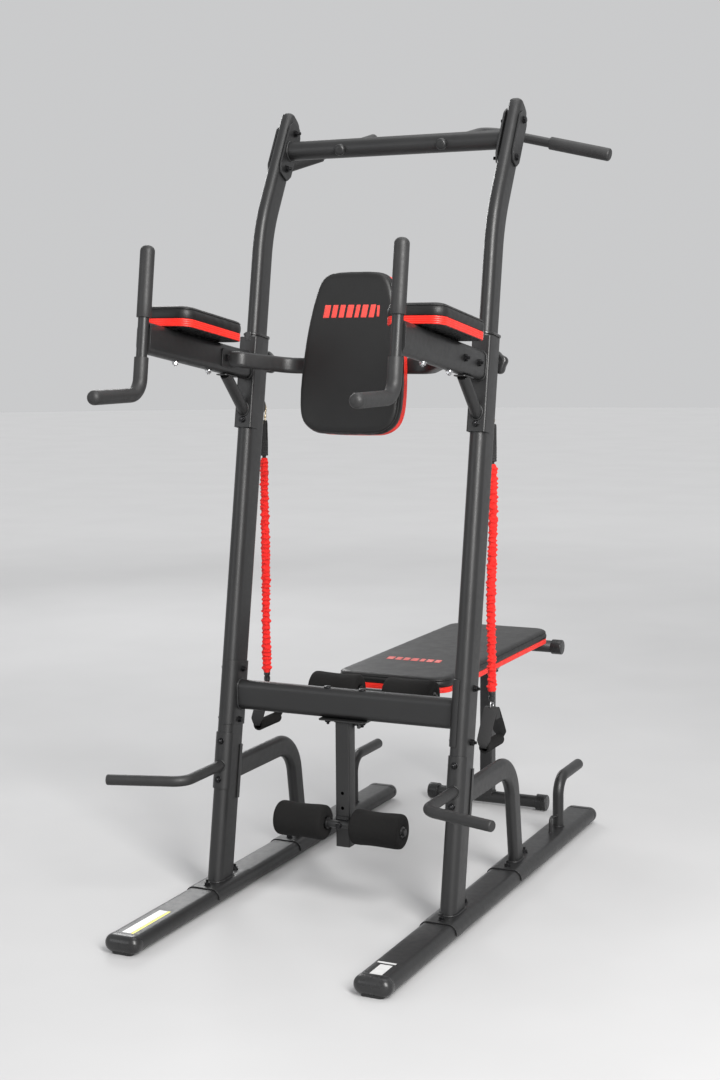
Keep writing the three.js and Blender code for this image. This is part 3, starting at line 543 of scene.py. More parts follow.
def make(name, geo, mat, body, replaces=(), slot=None, sharp=32, bevel=0.0, bseg=2, subsurf=0, mirror=False):
    me = bpy.data.meshes.new(name)
    me.from_pydata([W(p) for p in geo.v], [], geo.f)
    bm = bmesh.new()
    bm.from_mesh(me)
    bmesh.ops.remove_doubles(bm, verts=bm.verts, dist=1e-6)
    bmesh.ops.recalc_face_normals(bm, faces=bm.faces)
    bm.to_mesh(me)
    bm.free()
    me.shade_smooth()
    me.set_sharp_from_angle(angle=math.radians(sharp))
    ob = bpy.data.objects.new(name, me)
    bpy.context.scene.collection.objects.link(ob)
    me.materials.append(MATS[mat])
    if bevel:
        b = ob.modifiers.new("bevel", "BEVEL")
        b.width = bevel / 1000.0
        b.segments = bseg
        b.limit_method = "ANGLE"
        b.angle_limit = math.radians(38)
        b.harden_normals = True
        b.use_clamp_overlap = True
    if subsurf:
        s = ob.modifiers.new("sub", "SUBSURF")
        s.levels = s.render_levels = subsurf
    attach(ob, body)
    if replaces:
        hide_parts(*((replaces,) if isinstance(replaces, str) else replaces))
    ALL.append(ob)
    return ob


def both(name, geo, mat, body, replaces=None, **kw):
    """right piece and its mirror image; body and replaces take the side prefix where the text starts with *"""
    out = []
    for side, g in (("right", geo), ("left", geo.mirrored())):
        bd = body.replace("*", side + "_") if body.startswith("*") else body
        rp = [side + "_" + r for r in ((replaces,) if isinstance(replaces, str) else (replaces or ()))]
        out.append(make(side + "_" + name, g, mat, bd, rp, **kw))
    return out


def boolean(a, b, op):
    """geometry a (op) b, as Geo, through Blender's exact solver"""
    obs = []
    for g in (a, b):
        me = bpy.data.meshes.new("tmp")
        me.from_pydata([tuple(c / 1000 for c in p) for p in g.v], [], g.f)
        bm = bmesh.new()
        bm.from_mesh(me)
        bmesh.ops.remove_doubles(bm, verts=bm.verts, dist=1e-6)
        bmesh.ops.recalc_face_normals(bm, faces=bm.faces)
        bm.to_mesh(me)
        bm.free()
        o = bpy.data.objects.new("tmp", me)
        bpy.context.scene.collection.objects.link(o)
        obs.append(o)
    md = obs[0].modifiers.new("b", "BOOLEAN")
    md.operation = op
    md.solver = "EXACT"
    md.use_self = True
    md.object = obs[1]
    bpy.context.view_layer.update()
    ev = obs[0].evaluated_get(bpy.context.evaluated_depsgraph_get())
    me = ev.to_mesh()
    g = Geo().add([tuple(c * 1000 for c in v.co) for v in me.vertices], [tuple(p.vertices) for p in me.polygons])
    ev.to_mesh_clear()
    for o in obs:
        md_me = o.data
        bpy.data.objects.remove(o)
        bpy.data.meshes.remove(md_me)
    return g


def dense_obround(w, h, step=6):
    """obround with points along the straight sides too"""
    base = obround(w, h, 18)
    o = []
    n = len(base)
    for i in range(n):
        a, b = base[i], base[(i + 1) % n]
        l = math.hypot(b[0] - a[0], b[1] - a[1])
        k = max(1, int(l / step))
        for j in range(k):
            o.append((a[0] + (b[0] - a[0]) * j / k, a[1] + (b[1] - a[1]) * j / k))
    return o


def shell(w, h, t, keep, f, lo, hi):
    """open channel: the kept part of a skin round an obround"""
    out = dense_obround(w + 2 * t, h + 2 * t)
    def inner(p):
        # closest point on the inner obround
        r, kk = min(w, h) / 2, abs(h - w) / 2
        a, b = p
        if h >= w:
            c = (0.0, max(-kk, min(kk, b)))
        else:
            c = (max(-kk, min(kk, a)), 0.0)
        dx, dy = a - c[0], b - c[1]
        l = math.hypot(dx, dy) or 1
        return (c[0] + dx / l * r, c[1] + dy / l * r)
    k = [keep(a, b) for a, b in out]
    m = len(k)
    starts = [i for i in range(m) if k[i] and not k[i - 1]]
    g = Geo()
    for st in starts:
        idx = []
        i = st
        while k[i % m] and len(idx) < m:
            idx.append(i % m)
            i += 1
        if len(idx) < 3:
            continue
        poly = [out[i] for i in idx] + [inner(out[i]) for i in reversed(idx)]
        g.join(prism(poly, lo, hi, f))
    return g


FRAME, UPPER = "frame", "upper_frame"

# ------------------------------------------------------------------ bands first, since they hang free
BY = 351.0


def band_path(side):
    k = 1 if side == "right" else -1
    pts = []
    n = 150
    for i in range(n + 1):
        t = i / n
        z = 1160 - 603 * t
        x = k * (XU + 2.4 * math.sin(t * 7.0 + (0.4 if k > 0 else 1.3)) * math.sin(math.pi * t))
        y = BY + 3.2 * math.sin(t * 5.2 + (0.9 if k > 0 else 2.1)) * math.sin(math.pi * t)
        pts.append((x, y, z))
    return pts


def sleeve(side):
    """gathered cloth tube: rings whose radius folds in and out, with twisted creases"""
    rnd = random.Random(11 if side == "right" else 23)
    ctr = band_path(side)
    fine = []
    sub = 5
    for a, b in zip(ctr, ctr[1:]):
        for j in range(sub):
            fine.append(va(sc(a, 1 - j / sub), b, j / sub))
    fine.append(ctr[-1])
    n = 40
    # pleats: each has a place, a tilt and a depth
    pl = []
    s = 0.0
    while s < 603:
        pl.append((s, rnd.uniform(-1.9, 1.9), rnd.uniform(0, 2 * math.pi), rnd.uniform(2.6, 5.4), rnd.uniform(2.3, 4.2)))
        s += rnd.uniform(8.5, 15.0)
    rings = []
    for i, p in enumerate(fine):
        q = i / (len(fine) - 1) * 603
        ring = []
        for j in range(n):
            th = 2 * math.pi * j / n
            r = 9.9 + 0.8 * math.sin(q / 47 + (1.0 if side == "right" else 2.2))
            for s0, tl, ph, dp, wd in pl:
                d = q - s0 - tl * 1.9 * math.sin(th + ph) - 1.2 * math.sin(3 * th + ph * 2)
                if abs(d) < 9:
                    r += dp * math.exp(-(d / wd) ** 2) * (0.72 + 0.28 * math.sin(2 * th + ph))
            r += 0.5 * math.sin(5 * th + q / 9)
            e = min(q, 603 - q)
            if e < 12:
                r = 6.5 + (r - 6.5) * math.sin(math.pi / 2 * e / 12) + 0.6 * math.sin(9 * th) * (1 - e / 12)
            r = min(r, 15.0)
            ring.append((p[0] + r * math.cos(th), p[1] + r * math.sin(th), p[2]))
        rings.append(ring)
    return loft(rings)


def ribbon(path, w, t, n, cross_s=None):
    return sweep(rrect(w, t, t * 0.45, 3), path, n)


def make_bands():
    for side in ("right", "left"):
        k = 1 if side == "right" else -1
        x0 = k * XU
        body = side + "_band_set"
        slv = make(side + "_band_sleeve", sleeve(side), "red_sleeve", body, side + "_band", "band_sleeve", sharp=80)
        # spring clip through the eye of the upright
        c = (x0, 352.0, 1279.0)
        loop = [(x0, c[1] + yy, c[2] + zz) for yy, zz in ((-3, 26), (4, 28.5), (10, 25), (12.5, 17), (10.5, 2), (7.5, -12), (6.5, -20), (2, -25.5), (-3.5, -25), (-6.5, -19), (-7.5, -8), (-8.5, 6), (-9.5, 17), (-8, 22))]
        clip = smooth_tube(loop, 2.1, True)
        gate = rod(4.8, (x0, c[1] + 9.0, c[2] - 4), (x0, c[1] + 11.4, c[2] + 12), 24, 0.8)
        clip.join(gate, stack((x0, c[1] + 7.4, c[2] - 10), (0, 0.12, 1), [(0, 3.2, 0), (1, 3.6, 0), (6, 3.6, 0), (7, 3.2, 0)], 24))
        clp = make(side + "_band_clip", clip, "clip_steel", body, (), "plated_hardware", sharp=40)
        # folded webbing between the clip and the sleeve
        web = Geo()
        pts = [(x0, 355.6, 1166), (x0, 356.6, 1200), (x0, 355.4, 1236), (x0, 355.0, 1256), (x0, 351.0, 1262.5), (x0, 347.0, 1256), (x0, 346.4, 1236), (x0, 345.6, 1200), (x0, 347.0, 1166)]
        web.join(sweep(rrect(19, 2.4, 1.0, 3), spline(pts, 8), (1, 0, 0)))
        wrap = []
        for i in range(40):
            t = i / 39
            wrap.append([(x0 + (11.2 + 0.6 * math.sin(t * 37)) * math.cos(th), 351 + (8.2 + 0.5 * math.sin(t * 37)) * math.sin(th), 1168 + 40 * t) for th in [2 * math.pi * j / 32 for j in range(32)]])
        web.join(loft(wrap))
        web.join(stack((x0, 351, 1170), (0, 0, -1), [(0, 6.6, 0), (3, 6.4, 0), (6, 5.2, 0), (14, 5.0, 0)], 28))
        wtop = make(side + "_band_top_webbing", web, "webbing", body, (), "band_sleeve", sharp=50)
        # plug, ring and the webbing loop to the handle
        px, py, _ = band_path(side)[-1]
        plug = stack((px, py, 566), (0, 0, -1), [(0, 6.0, 0), (4, 8.4, 0), (10, 9.0, 0), (14, 8.8, 0), (15, 7.2, 0), (18, 7.2, 0), (19, 8.6, 0), (27, 8.8, 0), (32, 7.6, 0), (34, 5.2, 0)], 36)
        plg = make(side + "_band_plug", plug, "plastic", body, (), "black_plastic", sharp=40)
        ring = smooth_tube([(px, py + 11 * math.sin(a), 524 - 11 * math.cos(a)) for a in [2 * math.pi * i / 12 for i in range(12)]], 1.9, True)
        ring.join(rod(5.0, (px, py, 540), (px, py, 529), 20, 0.6))
        rg = make(side + "_band_ring", ring, "zinc", body, (), "plated_hardware", sharp=40)
        lp = [(x0, 351, 517.5), (x0, 342, 515), (x0, 322, 488), (x0, 299, 455), (x0, 287, 434), (x0, 287.5, 423), (x0, 296, 419.5), (x0, 320, 419), (x0, 351, 419), (x0, 382, 419), (x0, 406, 419.5), (x0, 414.5, 423), (x0, 415, 434), (x0, 403, 455), (x0, 380, 488), (x0, 360, 515), (x0, 351, 517.5)]
        path = spline(lp, 8)
        out = []
        for p, t, s in path:
            wsc = 1.0
            if p[2] < 440:
                wsc = 1 - 0.62 * (440 - p[2]) / 20
            out.append((p, t, max(0.38, min(1.0, wsc))))
        rings = []
        for p, t, s in out:
            u = uni(crs(t, (1, 0, 0)))
            rings.append([va(va(p, (1, 0, 0), a * s), u, b) for a, b in rrect(37, 2.2, 0.9, 3)])
        wl = loft(rings[:-1], wrap=True)
        # sewn block under the ring
        blk = [[(x0 + a, 351 + b, z) for a, b in rrect(39, w, 2.5, 4)] for z, w in ((516, 13), (512, 17), (500, 24), (492, 29), (489, 31))]
        wl.join(loft(blk))
        wlo = make(side + "_band_low_webbing", wl, "webbing", body, (), "band_sleeve", sharp=50)
        # foam grip on the tube handle
        prof = [(-58, 12.4), (-57.2, 14.2), (-54, 15.2), (-20, 15.0), (20, 15.0), (54, 15.2), (57.2, 14.2), (58, 12.4)]
        rr = [[(x0 + r * math.cos(th), BY + h, 420 + r * math.sin(th)) for th in [2 * math.pi * j / 40 for j in range(40)]] for h, r in prof]
        ri = [[(x0 + 9.9 * math.cos(th), BY + h, 420 + 9.9 * math.sin(th)) for th in [2 * math.pi * j / 40 for j in range(40)]] for h in (58, -58)]
        hnd = make(side + "_band_grip", loft(rr + ri, wrap=True), "foam", body, side + "_band_handle", "grip_rubber", sharp=40)


def spline(pts, sub=8, closed=False):
    """Catmull-Rom through points, returned as a path of (p, t, 1)"""
    n = len(pts)
    out = []
    m = n if closed else n - 1
    for i in range(m):
        p0 = pts[(i - 1) % n] if (closed or i > 0) else pts[0]
        p1 = pts[i]
        p2 = pts[(i + 1) % n]
        p3 = pts[(i + 2) % n] if (closed or i + 2 < n) else pts[-1]
        for j in range(sub):
            t = j / sub
            out.append(tuple(0.5 * ((2 * p1[k]) + (-p0[k] + p2[k]) * t + (2 * p0[k] - 5 * p1[k] + 4 * p2[k] - p3[k]) * t * t + (-p0[k] + 3 * p1[k] - 3 * p2[k] + p3[k]) * t ** 3) for k in range(3)))
    if not closed:
        out.append(tuple(pts[-1]))
    res = []
    q = len(out)
    for i, p in enumerate(out):
        a = out[(i - 1) % q] if (closed or i > 0) else p
        b = out[(i + 1) % q] if (closed or i < q - 1) else p
        res.append((p, uni(vd(b, a)), 1.0))
    return res


def smooth_tube(pts, r, closed=False, seg=16, sub=6):
    path = spline(pts, sub, closed)
    rings = []
    prev = None
    for p, t, s in path:
        if prev is None:
            prev = uni(crs(t, (1, 0.02, 0.01) if abs(t[0]) < 0.8 else (0, 0, 1)))
        prev = uni(va(prev, t, -dot(prev, t)))
        u = crs(t, prev)
        rings.append([va(va(p, prev, r * math.cos(2 * math.pi * k / seg)), u, r * math.sin(2 * math.pi * k / seg)) for k in range(seg)])
    return loft(rings, wrap=closed)


make_bands()


# ------------------------------------------------------------------ base
def saddle_shell(y0, y1):
    g = shell(96.6, BT - BB + 0.6, 3.0, lambda a, b: b > -5.5, lambda a, b, h: (XU + a, h, BZ + b), y0, y1)
    return g


def top_bolt(y, stub=7.0):
    return hexhead((XU, y, BT + 3.3), (0, 0, 1), 14, 6.5, 19, 1.6, stub, 8, roll=y * 0.1)


def base():
    y0, y1 = -395.0, 1118.0
    o = obround(96, BT - BB)
    i = obround(92, BT - BB - 4)
    f = lambda a, b, h: (XU + a, h, BZ + b)
    both("base_tube", tube_prism(o, i, y0, y1, f), "powder_coat", FRAME, "base_tube", slot="frame_steel")
    p = bent([(XU, 909, BT - 1.5), (XU, 909, 190), (XU, 1106, 190)], [52], 18)
    post = sweep(circle(32, 48), nose(densify(p), 9, 16, 8), (1, 0, 0))
    post.join(bead([(XU + 17.2 * math.cos(t), 909 + 17.2 * math.sin(t), BT + 0.6) for t in [2 * math.pi * j / 40 for j in range(40)]], 2.3, True))
    both("rear_post", post, "powder_coat", FRAME, slot="frame_steel")
    lp = smooth_tube([(XU, 838, 46), (XU, 838, 60), (XU, 838.5, 76), (XU, 843, 85), (XU, 852, 87.6), (XU, 866, 85.6), (XU, 880, 82.8), (XU, 896, 80)], 4.5, False, 20)
    lp.join(bead([(XU + 5.6 * math.cos(t), 838 + 5.6 * math.sin(t), BT + 0.3) for t in [2 * math.pi * j / 16 for j in range(16)]], 1.4, True))
    lp.join(bead([(XU + 4.6 * math.cos(t), 893.2 + 0.6 * math.cos(t), 80.4 + 4.8 * math.sin(t)) for t in [2 * math.pi * j / 16 for j in range(16)]], 1.3, True))
    both("base_loop", lp, "powder_coat", FRAME, slot="frame_steel")
    # end caps, with a rim, a domed end and a foot
    KC = (BT - BB + 2.4) / 2
    for nm, dr, yt in (("base_front_cap", -1, y0), ("base_rear_cap", 1, y1)):
        at = lambda d, k, w=0: [(XU + a, yt + dr * d, BZ + b) for a, b in obround(97.4 - 2 * k - 2 * w, BT - BB + 2.4 - 2 * k, 22)]
        st = [at(0.3, 1.3), at(0.8, 0.2), at(1.6, 0), at(14, 0)]
        for q in range(1, 13):
            a = math.pi / 2 * q / 12
            st.append(at(14 + 21 * math.sin(a), (KC - 0.5) * (1 - math.cos(a)), 5 * (1 - math.cos(a))))
        g = loft(st)
        foot = [[(XU + a, yt + dr * 15 + b, z) for a, b in rrect(58 - k, 20 - k, 8, 6)] for z, k in ((0.0, 3.2), (0.5, 1.4), (1.6, 0.2), (2.4, 0), (9, 0))]
        g.join(loft(foot))
        for s in (-1, 1):
            g.join(loft([[(XU + s * 20 + a, yt + dr * 15 + b, z) for a, b in circle(9 + k, 20)] for z, k in ((0.0, 0), (0.1, 0.6), (0.8, 1.0), (3, 1.0))]))
        both(nm, g, "plastic", FRAME, nm, slot="black_plastic", sharp=62)


def label_strip(name, x0, x1, y0, y1, mat):
    g = prism(rrect(x1 - x0, y1 - y0, 1.5, 3), BT + 0.02, BT + 0.22, lambda a, b, h: ((x0 + x1) / 2 + a, (y0 + y1) / 2 + b, h))
    make(name, g, mat, FRAME, (), None, sharp=30)


# ------------------------------------------------------------------ lower uprights
def uf(a, b, h): return UF(XU + a, b, h)


def through_bolt(s, v=0.0, xi=-27.4, xo=24.0, both_nuts=True):
    """bolt along X through the upright: round head inside, nut outside"""
    y, z = UF(0, v, s)[1:]
    g = hexhead((XU + xi, y, z), (-1, 0, 0), 13.5, 6, 17, 1.5, 0, 8, roll=s * 0.03)
    g.join(hexhead((XU + xo, y, z), (1, 0, 0), 13.5, 7, 17, 1.5, 5, 8, roll=s * 0.05))
    return g


def lower_uprights():
    sTop = 1460.0
    o = obround(45, 90, 22)
    i = obround(41, 86, 22)
    rings = []
    # lower end cut level with the base
    lowz = 48.5
    def level(a, b):
        s = (lowz - 50 + b * SU) / CU
        return uf(a, b, s)
    wall = loft([[level(a, b) for a, b in o]] + [[uf(a, b, s) for a, b in o] for s in (60, 400, 800, 1200, sTop - 0.6)] + [[uf(a * 0.985, b * 0.993, sTop) for a, b in o], [uf(a, b, sTop) for a, b in i], [uf(a, b, sTop - 60) for a, b in i]], caps=True)
    both("lower_upright", wall, "powder_coat", FRAME, "lower_upright", slot="frame_steel")
    g = saddle_shell(-25, 171)
    both("foot_saddle", g, "powder_coat", FRAME, slot="frame_steel", bevel=0.8)
    both("foot_weld", bead([level(a * 1.06, b * 1.03)[:2] + (BT + 3.9,) for a, b in dense_obround(45, 90, 4)], 2.6, True), "powder_coat", FRAME, slot="frame_steel", sharp=60)
    b = top_bolt(0).join(top_bolt(150))
    both("foot_bolts", b, "black_oxide", FRAME, slot="plated_hardware", sharp=30)
    # eye
    s0 = 1280.0
    ey = smooth_tube([UF(XU, v, s0 + h) for v, h in ((43, 15), (52, 15), (61, 14), (67.5, 9.5), (70, 0), (67.5, -9.5), (61, -14), (52, -15), (43, -15))], 4.0, False, 20)
    for h in (15, -15):
        ey.join(bead([uf(5.2 * math.cos(t), 45.2, s0 + h + 5.2 * math.sin(t)) for t in [2 * math.pi * j / 14 for j in range(14)]], 1.5, True))
    both("upright_eye", ey, "powder_coat", FRAME, slot="frame_steel", sharp=60)
    # threaded boss and knob
    at = lambda a, b, h: UF(XU + a, h, 1402 + b)
    both("knob_boss", loft([[at(a * k, b * k, h) for a, b in circle(26, 40)] for h, k in ((43, 1), (56.2, 1), (57, 0.94))]).join(bead([at(14 * math.cos(t), 14 * math.sin(t), 43.6 + 1.6 * math.cos(t) ** 2 * -1) for t in [2 * math.pi * j / 30 for j in range(30)]], 1.7, True)), "powder_coat", FRAME, slot="frame_steel", sharp=50)
    def lobes(r, amp, n=100):
        return [((r + amp * math.cos(5 * 2 * math.pi * q / n)) * math.sin(2 * math.pi * q / n), (r + amp * math.cos(5 * 2 * math.pi * q / n)) * math.cos(2 * math.pi * q / n)) for q in range(n)]
    kr = [(60.2, 19, 0), (60.6, 21.5, 0.2), (62, 25.5, 1.1), (64.5, 28.4, 2.2), (69, 29.4, 2.6), (75, 29.6, 2.7), (80, 28.6, 2.4), (83, 25.5, 1.9), (84.4, 21.6, 1.2), (84.6, 16, .4), (83.4, 13, 0), (83.0, 9, 0), (83.2, 2, 0)]
    kn = loft([[at(a, b, h) for a, b in lobes(r, am)] for h, r, am in kr])
    kn.join(loft([[at(a, b, h) for a, b in circle(d, 40)] for h, d in ((57.4, 23), (57.8, 24), (61.5, 24))]))
    both("height_knob", kn, "plastic", "*knob", "height_knob", slot="black_plastic", sharp=45)
    sp = []
    h = 37.4
    while h < 58:
        sp += [(h, 4.9), (h + 0.7, 4.3)]
        h += 1.4
    both("height_knob_screw", loft([[at(a, b, hh) for a, b in circle(2 * r, 20)] for hh, r in sp]), "zinc", "*knob", slot="plated_hardware", sharp=30)
    # bush with its collar and two clips
    ob = lambda k, seg=22: obround(50 + 2 * k, 95 + 2 * k, seg)
    st = [(0.3, ob(-1.2)), (0.9, ob(-0.2)), (1.8, ob(0)), (5.6, ob(-0.1)), (7.0, ob(-1.0)), (7.3, ob(-2.2)), (7.3, obround(38.6, 76.6, 22)), (-40, obround(36.9, 74.9, 22)), (-40, obround(40.3, 85.3, 22)), (0.3, obround(40.3, 85.3, 22))]
    g = loft([[uf(a, b, sTop + hh) for a, b in pr] for hh, pr in st], wrap=True)
    for v in (-47.6, 47.6):
        sgn = 1 if v > 0 else -1
        g.join(prism(rrect(16, 5, 2, 4), sTop - 14, sTop + 7, lambda a, b, h, v=v: UF(XU + a, v + b, h)))
    both("upright_bush", g, "plastic", FRAME, "upright_bush", slot="black_plastic", sharp=40)


# ------------------------------------------------------------------ upper uprights and pull-up bar
HEX1 = [(-34, -62), (-20, -84), (20, -84), (34, -62), (34, 62), (20, 84), (-20, 84), (-34, 62)]
HEX2 = [(-27, -58), (-14, -78), (14, -78), (27, -58), (27, 58), (14, 78), (-14, 78), (-27, 58)]


def soften(poly, r=4.0, seg=4):
    """round the corners of a convex outline"""
    out = []
    n = len(poly)
    for i in range(n):
        p, a, b = poly[i], poly[i - 1], poly[(i + 1) % n]
        d1 = (a[0] - p[0], a[1] - p[1]); l1 = math.hypot(*d1)
        d2 = (b[0] - p[0], b[1] - p[1]); l2 = math.hypot(*d2)
        q = min(r, l1 * 0.4, l2 * 0.4)
        A = (p[0] + d1[0] / l1 * q, p[1] + d1[1] / l1 * q)
        B = (p[0] + d2[0] / l2 * q, p[1] + d2[1] / l2 * q)
        for j in range(seg + 1):
            t = j / seg
            out.append(((1 - t) ** 2 * A[0] + 2 * t * (1 - t) * p[0] + t * t * B[0], (1 - t) ** 2 * A[1] + 2 * t * (1 - t) * p[1] + t * t * B[1]))
    return out


def upper():
    zv = (70 - 50 * TL - (BAR[0] - 0.556 * BAR[1])) / (0.556 - TL)
    vtx = (XU, yU(zv), zv)
    path = densify(bent([(XU, yU(1180), 1180), vtx, TF(XU, 0, 140)], [420], 22), 60)
    o = sweep(obround(36, 74, 20), path, (1, 0, 0))
    prof = [(-14 + 24 * math.cos(math.pi - math.pi / 2 * q / 8), 89 + 23 * math.sin(math.pi - math.pi / 2 * q / 8)) for q in range(9)]
    prof += [(8, 111), (22, 105), (40, 86), (40, -90), (700, -1200), (-260, -1200), (-38, 60)]
    # the closed top is rounded to both sides too
    rings = []
    for a in (-18.3, -18.1, -17.6, -16.6, -15, -12.6, -9.8, -6.6, -3.4, 0, 3.4, 6.6, 9.8, 12.6, 15, 16.6, 17.6, 18.1, 18.3):
        e = max(0.0, abs(a) - 2.5)
        d = 15.8 - math.sqrt(max(0.0, 15.8 * 15.8 - e * e))
        q = []
        for b, c in prof:
            if c > 86.5 and b < 0 or (b, c) == (8, 111):
                kk = 1 - d * 0.8 / 24
                q.append((-14 + (b + 14) * kk, 89 + (c - 89) * kk) if b < 0 else (8, c - d))
            elif c >= 86:
                q.append((b - d * 0.35, c - d * 0.75))
            else:
                q.append((b, c))
        rings.append([TF(XU + a, b, c) for b, c in q])
    m = boolean(o, loft(rings), "INTERSECT")
    both("upper_upright", m, "powder_coat", UPPER, "upper_upright", slot="frame_steel", bevel=1.4, bseg=3, sharp=38)
    xf = XU - 18 - G
    xo = XU + 18 + G
    g = prism(soften(HEX1, 5), xf - 5, xf, lambda a, b, h: TF(h, a, b))
    g.join(bead([(xf - 6, BAR[0] + 26.6 * math.cos(t), BAR[1] + 26.6 * math.sin(t)) for t in [2 * math.pi * j / 60 for j in range(60)]], 2.6, True))
    both("bar_flange", g, "powder_coat", UPPER, slot="frame_steel", bevel=0.8)
    g = prism(soften(HEX2, 4), xo, xo + 5, lambda a, b, h: TF(h, a, b))
    both("backing_plate", g, "powder_coat", UPPER, "backing_plate", slot="frame_steel", bevel=0.8)
    b = Geo()
    for s in (57.5, -57.5):
        b.join(hexhead(TF(xf - 5, 0, s), (-1, 0, 0), 15.5, 7.5, 21, 1.7, 7, 9, roll=s))
        b.join(hexhead(TF(xo + 5, 0, s), (1, 0, 0), 15.5, 5.4, 21, 1.7, 0, 9, roll=s * 2))
    both("top_bolts", b, "black_oxide", UPPER, slot="plated_hardware", sharp=30)
    # bar
    bar = rod(50.8, (-(xf - 4), *BAR), (xf - 4, *BAR), 72, 0.5)
    make("pull_up_bar", bar, "powder_coat", UPPER, "pull_up_bar", "frame_steel", sharp=40)
    HV = (165.0, 757.0, 2057.0)
    d1 = uni((HV[0] - 150, HV[1] - BAR[0], HV[2] - BAR[1]))
    start = va((150, *BAR), d1, -36)
    end = (516, 757, HV[2] - 0.238 * (516 - HV[0]))
    hp = bent([start, HV, end], [62], 18)
    n = uni(crs(d1, uni(vd(end, HV))))
    tube = sweep(circle(26, 40), nose(densify(hp, 40), 5, 13, 6, start=True), n)
    # domed end plug in front of the bar
    pl = [(va(start, d1, h), d1, r / 15.2) for h, r in ((-2.2, 3), (-1.9, 7.5), (-1.0, 11), (0.6, 13.6), (3, 15.0), (6, 15.2), (11.5, 15.2))]
    tube.join(sweep(circle(30.4, 36), pl, n))
    # bead where the handle leaves the back of the bar
    ring = []
    for j in range(48):
        t = 2 * math.pi * j / 48
        u = uni(crs(d1, n))
        off = va(sc(n, 13.4 * math.cos(t)), u, 13.4 * math.sin(t))
        c = va((150, *BAR), off)
        # slide along d1 until on the bar surface
        yy, zz = c[1] - BAR[0], c[2] - BAR[1]
        A = d1[1] ** 2 + d1[2] ** 2
        B = 2 * (yy * d1[1] + zz * d1[2])
        C = yy * yy + zz * zz - 25.6 ** 2
        k = (-B + math.sqrt(max(0, B * B - 4 * A * C))) / (2 * A)
        ring.append(va(c, d1, k))
    tube.join(bead(ring, 2.3, True))
    both("rear_handle", tube, "powder_coat", UPPER, slot="frame_steel", sharp=60)
    u2 = uni(vd(end, HV))
    g0, g1 = va(HV, u2, (350 - HV[0]) / u2[0]), va(HV, u2, (520.5 - HV[0]) / u2[0])
    gp = [(g0, u2, 27.2 / 35), (va(g0, u2, 0.2), u2, 0.965), (va(g0, u2, 1.4), u2, 1.0), (g1, u2, 1.0)]
    both("rear_grip", sweep(circle(35, 44), nose(densify(gp, 30), 7, 17.5, 10), n), "grip_rubber", UPPER, "rear_grip", slot="grip_rubber", sharp=50)


